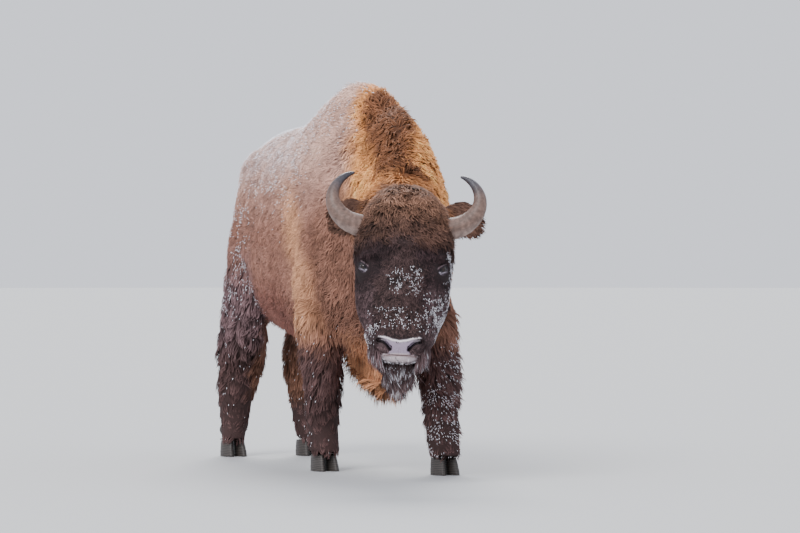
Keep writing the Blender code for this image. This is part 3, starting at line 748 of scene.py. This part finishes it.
PUPIL_EDGE, IRIS_START = 0.22, 0.34                # on the scale of the attribute "ring"
SIDES = ((-1, "right"), (1, "left"))
eye_glass = eye_finish()
for side, word in SIDES:
    centre = np.array(middle("eye_" + word))
    eyeball = new_ball("eyeball_" + word, centre, EYE_RADIUS, 64, 40)
    bpy.ops.object.transform_apply(location=True, rotation=True, scale=True)
    looking, along, rise = (HEAD_AXES @ (axis * np.array((side, 1, 1))) for axis in (LOOK, SLIT, LID_UP))
    away = (points_of(eyeball.data) - centre) / EYE_RADIUS
    off_axis = np.arccos(np.clip(away @ looking, -1, 1))
    dome = 0.0009 * bell(off_axis, 0.50)
    set_points(eyeball.data, centre + away * (EYE_RADIUS - 0.0006 + dome)[:, None])
    pupil = np.where(away @ looking > 0, np.hypot(0.55 * (away @ along), away @ rise), 1.0)
    ring = np.where(pupil < PUPIL_EDGE, pupil, np.maximum(IRIS_START, off_axis / math.pi * 2.2))
    keep(eyeball.data, "ring", np.clip(ring, 0, 1))
    eyeball.data.shade_smooth()
    eyeball.data.materials.append(eye_glass)
    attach(eyeball, "root")
    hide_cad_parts("eye_" + word)


# ---- The horns --------------------------------------------------------------------------------------
# Hollow horn over a bony core: out, up and in again, ringed and scaly near the base and smooth and dark
# at the tips. The solids give the bend, and the rings are raised on them.

HORN_HUB = np.array((0.205, 0.295))                # the middle of the bend, in the head's x-z plane
HORN_START, HORN_SWEEP = -110.0, 195.0             # degrees round the hub, from root to tip


def along_horn(head):
    """0 at the root and 1 at the tip."""
    arm = np.c_[np.abs(head[:, 0]), head[:, 2]] - HORN_HUB
    return np.clip((np.degrees(np.arctan2(arm[:, 1], arm[:, 0])) - HORN_START) / HORN_SWEEP, 0, 1)


def horn_finish():
    made, tree, shader = new_finish("horn", {})
    link = tree.links.new
    place = add_node(tree, "TexCoord").outputs["Object"]
    grain = texture(tree, "Noise", place, {"Scale": 85, "Detail": 6, "Roughness": 0.65})
    tint = shaded(tree, stored(tree, "tone", "Color"), carried(tree, grain, 0.62, 1.35, 0.30, 0.72))
    link(tint, shader.inputs["Base Color"])
    link(carried(tree, stored(tree, "length"), 0.62, 0.34), shader.inputs["Roughness"])
    link(embossed(tree, grain, 0.5, 0.0012), shader.inputs["Normal"])
    return made


HORN_GREY = np.array((0.155, 0.093, 0.072))
HORN_TIP = np.array((0.050, 0.046, 0.056))
HORN_PALE = np.array((0.42, 0.31, 0.27))
horn_material = horn_finish()
for side, word in SIDES:
    horn = twin_of(["horn_" + word], "horn_sheath_" + word)
    shape_with(horn, "SUBSURF", levels=2, render_levels=2)
    places, outward = points_of(horn.data), normals_of(horn.data)
    length = along_horn(on_head(places))
    wander = 0.35 * mottle(places, 0.03, 21)
    rings = np.sin(2 * math.pi * (13 * length ** 0.8 + wander)) * ramp(length, 0.62, 0.20)
    scales = mottle(places, 0.006, 22) * ramp(length, 0.75, 0.30)
    swell = 0.0016 * ramp(length, 0.5, 0.0)
    set_points(horn.data, places + outward * (swell + 0.0006 * rings + 0.0004 * scales)[:, None])
    tone = blend(HORN_GREY, HORN_TIP, ramp(length, 0.52, 0.85))
    under = ramp(-(outward @ HEAD_AXES[:, 2]), 0.35, 0.85) * ramp(length, 0.60, 0.35)
    tone = blend(tone, HORN_PALE, 0.45 * under)
    worn = 0.20 * rings + 0.26 * mottle(places, 0.02, 23) + 0.16 * mottle(places, 0.007, 24)
    tone = tone * (1 + worn)[:, None]
    keep_colour(horn.data, "tone", tone)
    keep(horn.data, "length", length)
    horn.data.shade_smooth()
    horn.data.materials.append(horn_material)
    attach(horn, "root")
    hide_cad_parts("horn_" + word)


# ---- The hooves -------------------------------------------------------------------------------------
# Each foot has two main claws of black horn with growth rings, and two dewclaws behind the pastern.
# The claws keep the solids' flat soles.


def hoof_finish():
    made, tree, shader = new_finish("hoof", {"Roughness": 0.55})
    link = tree.links.new
    place = add_node(tree, "TexCoord").outputs["Object"]
    layers = texture(tree, "Wave", place, {"Scale": 42, "Distortion": 3.0, "Detail": 3},
                     wave_type="BANDS", bands_direction="Z")
    tone = add_node(tree, "ValToRGB")
    tone.color_ramp.elements[0].color = (0.016, 0.013, 0.012, 1)
    tone.color_ramp.elements[1].color = (0.070, 0.058, 0.050, 1)
    link(layers, tone.inputs["Fac"])
    link(tone.outputs["Color"], shader.inputs["Base Color"])
    link(embossed(tree, layers, 0.35, 0.001), shader.inputs["Normal"])
    return made


CLAW_TOP, SOLE_EDGE = 0.065, 0.002                 # heights beyond which a level edge is kept sharp
DEWCLAW_HEIGHT = 0.118
DEWCLAW_SIZE = (0.015, 0.017, 0.024)
hoof_material = hoof_finish()
FEET = [end + "_" + side for end in ("front", "hind") for side in ("left", "right")]
for foot in FEET:
    for claw in ("inner", "outer"):
        node = f"hoof_{foot}_{claw}"
        hoof = twin_of([node], node.replace("hoof", "claw"))
        level = points_of(hoof.data)[:, 2][read(hoof.data.edges, "vertices", 2, np.int64)]
        flat = (np.ptp(level, axis=1) < 0.002) & ((level[:, 0] < SOLE_EDGE) | (level[:, 0] > CLAW_TOP))
        keep(hoof.data, "crease_edge", np.where(flat, 0.85, 0.0), domain="EDGE")
        shape_with(hoof, "SUBSURF", levels=2, render_levels=2)
        places, outward = points_of(hoof.data), normals_of(hoof.data)
        rings = 0.0006 * np.sin(places[:, 2] * 2 * math.pi / 0.018 + 1.2 * mottle(places, 0.05, 31))
        side_wall = ramp(places[:, 2], 0.004, 0.012) * ramp(places[:, 2], 0.069, 0.062)
        set_points(hoof.data, places + outward * (rings * side_wall)[:, None])
        hoof.data.shade_smooth()
        hoof.data.materials.append(hoof_material)
        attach(hoof, "root")
        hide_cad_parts(node)
    spot = middle(f"hoof_{foot}_inner", f"hoof_{foot}_outer")
    for side, word in SIDES:
        place = (spot.x + 0.030 * side, spot.y + 0.066, DEWCLAW_HEIGHT)
        dewclaw = new_ball(f"dewclaw_{foot}_{word}", place, 1.0, 24, 16)
        dewclaw.scale = DEWCLAW_SIZE
        bpy.ops.object.transform_apply(location=True, rotation=True, scale=True)
        places = points_of(dewclaw.data)
        sharpen = 1 - 0.35 * ramp(places[:, 2], DEWCLAW_HEIGHT, DEWCLAW_HEIGHT - DEWCLAW_SIZE[2])
        places[:, 0] = place[0] + (places[:, 0] - place[0]) * sharpen
        set_points(dewclaw.data, places)
        dewclaw.data.shade_smooth()
        dewclaw.data.materials.append(hoof_material)
        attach(dewclaw, "root")


# ---- The coat ---------------------------------------------------------------------------------------
# Locks of hair, each a thin three-sided spindle rooted in the hide. They rise from it, bend over along
# the lie of the coat and gather at their tips into tufts. Every lock is solid mesh and has a patch of
# its own on the hide's unwrap.

LOCK_PATCH = 0.003                                 # width of a lock's patch on the unwrap
STEPS = 12                                         # in which a lock's bend is worked out
SECTIONS = {
    # rings of a lock, each (share of its length, share of its width)
    1: ((0.38, 1.0),),
    2: ((0.26, 1.0), (0.64, 0.80)),
    3: ((0.20, 0.9), (0.46, 1.0), (0.75, 0.66)),
}
hair = np.random.default_rng(20)


def hide_triangles():
    """The hide cut into triangles: their corners, the corners' places on the unwrap, and their areas."""
    mesh = hide.data
    mesh.calc_loop_triangles()
    loops = read(mesh.loop_triangles, "loops", 3, np.int64)
    flat = read(mesh.uv_layers["OFBake"].data, "uv", 2)
    return read(mesh.loop_triangles, "vertices", 3, np.int64), flat[loops], read(mesh.loop_triangles, "area")


HORN_FOOT = np.array((0.150, 0.0, 0.178))          # where the left horn leaves the hide, in the head's frame
HIDE_CORNERS, HIDE_FLAT, HIDE_AREA = hide_triangles()
HIDE_PLACES, HIDE_NORMALS = points_of(hide.data), normals_of(hide.data)
patchy_lips = lips * (0.72 + 0.9 * mottle(skin_places, 0.010, 12))
naked_lids = ramp(lid_edge, 2.8, 2.4) * by_eye
HIDE_NAKED = np.maximum.reduce([1.2 * pad, rim, 3.5 * nostril, patchy_lips, naked_lids])


def root_locks(count, where):
    """Scatters about this many roots over the hide, as densely as the function says for each triangle."""
    middles = HIDE_PLACES[HIDE_CORNERS].mean(axis=1)
    parts = {name: share[HIDE_CORNERS].mean(axis=1) for name, share in skin_parts.items()}
    naked = HIDE_NAKED[HIDE_CORNERS].mean(axis=1)
    wanted = where(middles, parts) * HIDE_AREA * (naked < 0.5)
    wanted = wanted * (count / wanted.sum())
    number = np.floor(wanted + hair.random(len(wanted))).astype(int)
    chosen = np.repeat(np.arange(len(wanted)), number)
    mix = hair.dirichlet((1, 1, 1), len(chosen))
    corners = HIDE_CORNERS[chosen]

    def at(values):
        shape = (slice(None), slice(None)) + (None,) * (values.ndim - 1)
        return (values[corners] * mix[shape]).sum(axis=1)

    return {"place": at(HIDE_PLACES), "normal": unit(at(HIDE_NORMALS)),
            "flat": (HIDE_FLAT[chosen] * mix[:, :, None]).sum(axis=1),
            "part": {name: at(share) for name, share in skin_parts.items()}}


def unit(vectors):
    return vectors / np.maximum(np.linalg.norm(vectors, axis=-1, keepdims=True), 1e-9)


def along_hide(direction, normal):
    """The direction laid into the surface."""
    return unit(direction - normal * (direction * normal).sum(axis=1)[:, None])


def horn_distance(head):
    return np.linalg.norm(on_left(head) - HORN_FOOT, axis=1)


def lie_of_coat(roots, unrest):
    """Which way the hair lies: back and down the body, down the legs, and down the face from the poll."""
    places, part, normal = roots["place"], roots["part"], roots["normal"]
    body, head = on_body(places), on_head(places)
    ones, side = np.ones(len(places)), np.sign(head[:, 0])[:, None]
    legs = np.clip(part["foreleg"] + part["hindleg"], 0, 1)
    on = ramp(part["head"], 0.3, 0.7)
    from_poll = (head - np.array((0.0, -0.05, 0.46))) * np.array((1.0, 0.5, 1.0))
    from_eye = on_left(head) - LEFT_EYE
    from_eye = np.c_[from_eye[:, 0] * side[:, 0], from_eye[:, 1:]]
    cheek = ramp(head[:, 1], -0.02, 0.08) * ramp(head[:, 2], 0.12, 0.04)
    aside = np.tanh(crest_offset(body) / 0.05)
    turns = (
        # where the hair turns to, and how far: mane, legs, belly, tail, face, round horns and eyes, cheeks,
        # beard, ears
        (np.c_[0.9 * aside, 0.35 * ones, -0.75 * ones], ramp(body[:, 1], -0.12, -0.30)),
        (np.c_[0.25 * np.sign(body[:, 0]), 0.18 * ones, -ones], legs),
        ((0.0, 0.25, -1.0), ramp(body[:, 2], 0.66, 0.54) * (1 - legs)),
        ((0.0, 0.20, -1.0), part["tail"]),
        (from_poll @ HEAD_AXES.T, on),
        (side * HEAD_AXES[:, 0], 0.8 * on * ramp(horn_distance(head), 0.125, 0.075)),
        (from_eye @ HEAD_AXES.T - 0.01 * HEAD_AXES[:, 2], 0.8 * on * ramp(eye_distance(head), 0.055, 0.035)),
        (0.5 * HEAD_AXES[:, 1] - 0.8 * HEAD_AXES[:, 2], on * cheek),
        ((0.0, 0.0, -1.0), on * beard_share(head, body)),
        (side * HEAD_AXES[:, 0] + 0.3 * HEAD_AXES[:, 1] - np.array((0, 0, 0.35)), part["ear"]),
    )
    fall = ramp(body[:, 2], 1.55, 1.00)
    lie = unit(np.c_[0.10 * np.tanh(body[:, 0] / 0.06), ones, -0.12 - 0.55 * fall])
    for toward, share in turns:
        lie = lie + (unit(np.array(toward)) - lie) * np.clip(share, 0, 1)[:, None]
    lie = along_hide(lie, normal)
    swirl = 0.50 * mottle(places, 0.090, 41) + 0.40 * mottle(places, 0.035, 42)
    swirl = (swirl + 0.18 * hair.standard_normal(len(places))) * unrest
    across = np.cross(normal, lie)
    return unit(lie * np.cos(swirl)[:, None] + across * np.sin(swirl)[:, None])


def grow_locks(name, roots, sections, length, height, width, droop=0.2, curl=0.4, gather=0.5, clump=7,
               unrest=1.0, above=-0.003, frost=0.0, white_from=0.3, contrast=0.20, tipping=0.7):
    """Builds the locks of one piece of the coat. All sizes are arrays or numbers in metres.

    height is how far the tips stand off the hide, droop how much they hang, curl how much they wave,
    gather how strongly the tips draw together in clumps of about clump locks, unrest how much the lie
    of the coat wanders, above how high over the hide a lock starts, frost the share of frosted locks and
    white_from where along a lock the white begins, contrast how much the clumps differ in tone, and
    tipping how late along a lock its tip colour comes.
    """
    places, normal = roots["place"], roots["normal"]
    count = len(places)
    centres = hair.choice(count, count // clump, replace=False)
    tree = KDTree(len(centres))
    for i, j in enumerate(centres):
        tree.insert(places[j], i)
    tree.balance()
    tuft = np.array([tree.find(place)[1] for place in places])
    pull = places[centres[tuft]] - places
    pull = pull - normal * (pull * normal).sum(axis=1)[:, None]
    tuft_tone = hair.uniform(1 - contrast, 1 + contrast, len(centres))[tuft]
    tuft_rise = hair.uniform(0.75, 1.15, len(centres))[tuft]
    length = length * hair.uniform(0.72, 1.18, count)
    height = np.minimum(height * hair.uniform(0.70, 1.10, count) * tuft_rise, 0.9 * length)
    width = width * hair.uniform(0.70, 1.30, count)
    lie = lie_of_coat(roots, unrest)
    across = np.cross(normal, lie)
    rise = np.arcsin(np.clip(height / length, 0.03, 0.85))
    start, end = np.clip(1.9 * rise, 0.1, 1.35), 0.15 * rise
    phase = 2 * math.pi * mottle(places, 0.06, 51) + hair.uniform(-0.9, 0.9, count)
    turns = hair.uniform(0.5, 0.9, count)
    spine = np.empty((STEPS + 1, count, 3))
    spine[0] = places + np.broadcast_to(above, count)[:, None] * normal
    for k in range(STEPS):
        t = (k + 0.5) / STEPS
        angle = start + (end - start) * t
        wave = curl * np.sin(phase + 2 * math.pi * turns * t)
        lift = 0.5 * curl * np.cos(phase + 2 * math.pi * turns * t) * t
        step = lie * np.cos(angle)[:, None] + normal * (np.sin(angle) + lift)[:, None]
        step = step + across * wave[:, None]
        step[:, 2] -= droop * t
        drawn = gather * (((k + 1) / STEPS) ** 1.3 - (k / STEPS) ** 1.3)
        spine[k + 1] = spine[k] + unit(step) * (length / STEPS)[:, None] + drawn * pull
    rings = SECTIONS[sections]
    hanging = np.maximum(ramp(-normal[:, 2], 0.05, 0.50), ramp(droop, 0.7, 1.0))[:, None]
    corners = np.empty((count, 3 * sections + 2, 3))
    facing = np.empty_like(corners)
    corners[:, 0], facing[:, 0] = spine[0], normal
    corners[:, -1], facing[:, -1] = spine[-1], normal
    for k, (share, breadth) in enumerate(rings):
        at = round(share * STEPS)
        ahead = unit(spine[min(at + 1, STEPS)] - spine[at - 1])
        flank = unit(np.cross(ahead, normal))
        ridge = np.cross(flank, ahead)
        half = 0.5 * width * breadth
        for j, (out, up) in enumerate(((1.0, 0.0), (-1.0, 0.0), (0.0, 0.6))):
            row = 1 + 3 * k + j
            corners[:, row] = spine[at] + flank * (out * half)[:, None] + ridge * (up * half)[:, None]
            lying = 0.55 * normal + 0.40 * out * flank + (0.55 if up > 0 else 0.15) * ridge
            upright = 0.10 * normal + 0.75 * out * flank + (0.80 if up > 0 else -0.40) * ridge
            facing[:, row] = unit(lying + (upright - lying) * hanging)
    weave_mesh(name, roots, corners, facing, rings, tuft_tone, frost, white_from, tipping)


def weave_mesh(name, roots, corners, facing, rings, tuft_tone, frost, white_from, tipping):
    """One mesh of all the locks, each pointed at both ends, with its colours and its patch."""
    count, per = corners.shape[:2]
    sides = ((0, 1), (1, 2), (2, 0))
    places = [0.0] + [ring[0] for ring in rings] + [1.0]
    faces, sizes, flats = [], [], []
    for a, b in sides:
        faces += [0, 1 + b, 1 + a]
        flats += [((a + 0.5) / 3, 0.0), ((a + 1) / 3, places[1]), (a / 3, places[1])]
        sizes.append(3)
    for k in range(len(rings) - 1):
        low, high = 1 + 3 * k, 4 + 3 * k
        for a, b in sides:
            faces += [low + a, low + b, high + b, high + a]
            flats += [(a / 3, places[k + 1]), ((a + 1) / 3, places[k + 1]), ((a + 1) / 3, places[k + 2]),
                      (a / 3, places[k + 2])]
            sizes.append(4)
    for a, b in sides:
        faces += [per - 4 + a, per - 4 + b, per - 1]
        flats += [(a / 3, places[-2]), ((a + 1) / 3, places[-2]), ((a + 0.5) / 3, 1.0)]
        sizes.append(3)
    made = bpy.data.meshes.new(name)
    made.vertices.add(count * per)
    made.loops.add(count * len(faces))
    made.polygons.add(count * len(sizes))
    made.vertices.foreach_set("co", corners.astype(np.float32).ravel())
    indices = np.array(faces)[None] + per * np.arange(count)[:, None]
    made.loops.foreach_set("vertex_index", indices.astype(np.int32).ravel())
    starts = np.concatenate([[0], np.cumsum(sizes)[:-1]])
    starts = starts[None] + len(faces) * np.arange(count)[:, None]
    made.polygons.foreach_set("loop_start", starts.astype(np.int32).ravel())
    made.polygons.foreach_set("use_smooth", np.ones(count * len(sizes), bool))
    made.update(calc_edges=True)
    keep(made, "custom_normal", facing, "FLOAT_VECTOR")
    unwrapped = made.uv_layers.new(name="OFBake")
    spots = np.clip(roots["flat"], 0.002, 0.998)[:, None] + LOCK_PATCH * (np.array(flats) - 0.5)[None]
    unwrapped.data.foreach_set("uv", spots.astype(np.float32).ravel())
    colour = coat_colours(roots["place"], roots["part"])
    colour = colour * (hair.uniform(0.78, 1.22, count) * tuft_tone)[:, None, None]
    frosted = hair.random(count) < frost
    along = np.r_[0.0, np.repeat(places[1:-1], 3), 1.0]
    tipped = along[None] ** np.broadcast_to(tipping, count)[:, None]
    tones = colour[:, None, 0] + (colour[:, None, 1] - colour[:, None, 0]) * tipped[:, :, None]
    white = frosted[:, None] * ramp(along, white_from, white_from + 0.5)[None]
    tones = tones + (FROST - tones) * white[:, :, None]
    keep_colour(made, "coat", tones.reshape(-1, 3))
    across = np.r_[0.5, np.tile((0.0, 1.0, 0.5), len(rings)), 0.5]
    strand = np.empty((count, per, 3))
    strand[:, :, 0] = across + 7.0 * hair.random(count)[:, None]
    strand[:, :, 1] = 0.35 * along
    strand[:, :, 2] = 50.0 * hair.random(count)[:, None]
    keep(made, "strand", strand, "FLOAT_VECTOR")
    piece = bpy.data.objects.new(name, made)
    bpy.context.scene.collection.objects.link(piece)
    made.materials.append(hair_material)
    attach(piece, "root")


def hair_finish():
    """Dry winter hair: the lock's own colour, streaked along it, with little shine."""
    made, tree, shader = new_finish("hair", {"Roughness": 0.70, "Specular IOR Level": 0.15})
    streaks = texture(tree, "Noise", stored(tree, "strand", "Vector"), {"Scale": 4.0, "Detail": 2})
    shade = carried(tree, streaks, 0.62, 1.38, 0.30, 0.70)
    tree.links.new(shaded(tree, stored(tree, "coat", "Color"), shade), shader.inputs["Base Color"])
    return made


hair_material = hair_finish()


def deep(roots):
    return coat_depth(roots["place"], roots["part"])


# Wool over ribs, belly and rump: wavy, deeper under the belly and on the hump.
for name, front, back, count in (("coat_rump", 0.66, 9.0, 26000), ("coat_ribs", 0.26, 0.66, 24500),
                                 ("coat_withers", -0.14, 0.26, 28500)):

    def here(places, part):
        behind = on_body(places)[:, 1]
        return (part["trunk"] > 0.5) * (behind >= front) * (behind < back)

    roots = root_locks(count, here)
    body = on_body(roots["place"])
    under = ramp(body[:, 2], 0.78, 0.58)
    top = ramp(body[:, 2], 1.35, 1.60)
    grow_locks(name, roots, 1, length=0.050 + 0.014 * top + 0.040 * under,
               height=0.80 * deep(roots), width=0.0055, droop=0.15 + 0.6 * under, curl=0.60,
               gather=0.65, clump=13, unrest=1.2)


# The mane over the front of the hump and down the neck is long, dense and curly.
def mane_hair(places, part):
    return (part["trunk"] > 0.5) * (on_body(places)[:, 1] < -0.14)


def neck_hair(places, part):
    return (part["neck"] > 0.5) * 1.0


for name, where, count in (("coat_mane", mane_hair, 13500), ("coat_neck", neck_hair, 11500)):
    roots = root_locks(count, where)
    body = on_body(roots["place"])
    low = ramp(body[:, 2], 0.80, 0.60)
    curly = mane_share(body)
    grow_locks(name, roots, 2, length=0.060 + 0.045 * low,
               height=(0.75 + 0.40 * curly) * deep(roots), width=0.0068, droop=0.20 + 0.6 * low,
               curl=0.55 + 0.5 * curly, gather=0.70, clump=13, unrest=1.0 + 0.9 * curly, contrast=0.28)


# Curls on the forehead, short hair on the face, longer under the jaw, and the beard.
def on_beard(places):
    return beard_share(on_head(places), on_body(places)) >= 0.5


def short_face(places):
    head = on_head(places)
    return (head[:, 2] <= 0.085) & (head[:, 1] <= 0.065) & ~on_beard(places)


def forehead_hair(places, part):
    denser = 1 + 1.2 * (on_head(places)[:, 1] < 0.08)
    return (part["head"] > 0.5) * ~short_face(places) * ~on_beard(places) * denser


def face_hair(places, part):
    denser = 1 + 0.8 * ramp(eye_distance(on_head(places)), 0.08, 0.04)
    return (part["head"] > 0.5) * short_face(places) * denser


def beard_hair(places, part):
    return (part["head"] > 0.5) * on_beard(places)


def jaw_fringe(places, part):
    head = on_head(places)
    on_edge = (np.abs(head[:, 0]) > 0.080) & (np.abs(head[:, 2] + 0.375) < 0.045) & (head[:, 1] > -0.060)
    return (part["head"] > 0.5) * on_edge


def ear_hair(places, part):
    return (part["ear"] > 0.5) * 1.0


roots = root_locks(13000, forehead_hair)
head = on_head(roots["place"])
fringe = ramp(head[:, 2], 0.20, 0.12) * ramp(head[:, 1], 0.05, 0.0)
by_horn = ramp(horn_distance(head), 0.11, 0.07)
grow_locks("coat_forehead", roots, 2, length=0.056 + 0.010 * fringe + 0.012 * by_horn,
           height=(1.10 - 0.25 * by_horn) * deep(roots), width=0.0048, droop=0.30, curl=0.95, gather=0.80,
           clump=13, unrest=1.9, contrast=0.45, tipping=1.9)

roots = root_locks(28500, face_hair)
head = on_head(roots["place"])
lid = ramp(eye_distance(head), 0.070, 0.030)
snout = ramp(head[:, 2], -0.22, -0.33)
bridge = ramp(np.abs(head[:, 0]), 0.125, 0.070) * (1 - snout)
top = ramp(head[:, 2], -0.08, 0.06)
fringe = ramp(head[:, 1], -0.01, 0.05)
# late, bright tips over near-black roots: partly the hair's own colour, partly painted shade in the gaps
# between clumps
grow_locks("coat_face", roots, 1,
           length=(0.024 + 0.014 * bridge + 0.010 * top + 0.014 * fringe - 0.008 * snout) * (1 - 0.62 * lid),
           height=(0.75 + 0.45 * bridge + 0.35 * fringe) * deep(roots),
           width=(0.0037 + 0.0008 * bridge) * (1 - 0.50 * lid), droop=0.05, curl=0.50 + 0.4 * bridge,
           gather=0.75, clump=11, unrest=0.9 + 1.1 * bridge, contrast=0.55, tipping=2.2)

roots = root_locks(2600, beard_hair)
grow_locks("coat_beard", roots, 3, length=0.078, height=0.022, width=0.0046,
           droop=1.3, curl=0.35, gather=0.70, clump=12, unrest=0.8, frost=0.22, contrast=0.4, tipping=1.2)

roots = root_locks(1000, jaw_fringe)
grow_locks("coat_jaw", roots, 2, length=0.070, height=0.020, width=0.0034,
           droop=1.5, curl=0.35, gather=0.60, clump=7, unrest=0.7, frost=0.12, white_from=0.4, contrast=0.4)

roots = root_locks(3600, ear_hair)
grow_locks("coat_ears", roots, 2, length=0.042, height=0.010, width=0.0036,
           droop=0.55, curl=0.4, gather=0.45, clump=7, unrest=0.8)


# Short hair on shins and pasterns, long swept locks on the forearms and thighs.
def foreleg_hair(places, part):
    return (part["foreleg"] > 0.5) * (0.8 + 0.6 * ramp(on_body(places)[:, 2], 0.25, 0.45))


def hindleg_hair(places, part):
    return (part["hindleg"] > 0.5) * 1.0


for name, where, count, longer in (("coat_forelegs", foreleg_hair, 9800, 0.050),
                                   ("coat_hindlegs", hindleg_hair, 8800, 0.026)):
    roots = root_locks(count, where)
    height = on_body(roots["place"])[:, 2]
    high = ramp(height, 0.18, 0.45)
    grow_locks(name, roots, 2, length=0.034 + longer * high,
               height=(0.50 + 0.45 * high) * deep(roots), width=0.0052 + 0.0010 * high, droop=0.35,
               curl=0.40, gather=0.85, clump=18, unrest=0.9, contrast=0.28,
               tipping=1.3 - 0.6 * ramp(height, 0.60, 0.86))


# The tail's thin upper end and its brush.
def tail_hair(places, part):
    return (part["tail"] > 0.5) * 1.0


roots = root_locks(2200, tail_hair)
brush = ramp(on_body(roots["place"])[:, 2], 0.92, 0.75)
grow_locks("coat_tail", roots, 2, length=0.032 + 0.065 * brush, height=0.011 + 0.012 * brush,
           width=0.0050, droop=0.8, curl=0.3, gather=0.6, clump=9, unrest=0.5)


# Rime on the ends of the hair: short white tips that stand in the coat's outer layer.
def rimed(places, part):
    return frost_share(places, part, HIDE_NORMALS[HIDE_CORNERS].mean(axis=1))


roots = root_locks(9000, rimed)
on_face = ramp(roots["part"]["head"], 0.4, 0.6)
grow_locks("coat_rime", roots, 1, length=0.0110 - 0.0035 * on_face,
           height=0.004 - 0.001 * on_face, width=0.0026 - 0.0004 * on_face, curl=0.3, gather=0.0,
           above=0.70 * deep(roots), frost=1.0, white_from=-0.7)


# ---- The room ---------------------------------------------------------------------------------------
# A plain pale floor, a soft sky, a broad key light from the upper left, and a light from behind that
# catches the fringe of the coat. The camera stands well off, a little lower than the animal's back.

CAMERA_TURN = math.radians(-22)
CAMERA_AWAY, CAMERA_HEIGHT, CAMERA_ASIDE = 16.0, 1.0, 0.143
CAMERA_DOWN = 0.00744047619                        # radians below level
FILM = 36.0
FOCAL = 4.62                                       # in widths of the film


def set_floor():
    free_hands()
    bpy.ops.mesh.primitive_circle_add(vertices=96, radius=60.0, fill_type="NGON", location=(0, 0, 0))
    floor = bpy.context.object
    floor.name = "floor"
    made, _, _ = new_finish("floor", {"Base Color": (0.46, 0.465, 0.47, 1), "Roughness": 0.9})
    floor.data.materials.append(made)


def set_lamp(name, toward, softness, strength):
    """A broad far lamp, lighting the whole room evenly from one side."""
    lamp = bpy.data.lights.new(name, "SUN")
    lamp.angle, lamp.energy = math.radians(softness), strength
    holder = bpy.data.objects.new(name, lamp)
    holder.rotation_euler = (-Vector(toward)).to_track_quat("-Z", "Y").to_euler()
    bpy.context.scene.collection.objects.link(holder)


set_floor()
set_lamp("key", (-0.60, -0.45, 0.70), 30, 2.4)
set_lamp("back", (0.30, 0.75, 0.70), 25, 3.5)
sky = bpy.data.worlds.new("sky")
sky.use_nodes = True
set_inputs(sky.node_tree.nodes["Background"], {"Color": (0.88, 0.91, 1.0, 1), "Strength": 1.18})
bpy.context.scene.world = sky

rightward = np.array((math.cos(CAMERA_TURN), math.sin(CAMERA_TURN), 0))
forward = np.array((-math.sin(CAMERA_TURN), math.cos(CAMERA_TURN), 0))
lens = bpy.data.cameras.new("camera")
lens.sensor_width = FILM
lens.lens = FOCAL * FILM
lens.clip_end = 200
camera = bpy.data.objects.new("camera", lens)
camera.location = STAND + CAMERA_ASIDE * rightward - CAMERA_AWAY * forward + np.array((0, 0, CAMERA_HEIGHT))
camera.rotation_euler = (math.pi / 2 - CAMERA_DOWN, 0, CAMERA_TURN)
bpy.context.scene.collection.objects.link(camera)
bpy.context.scene.camera = camera
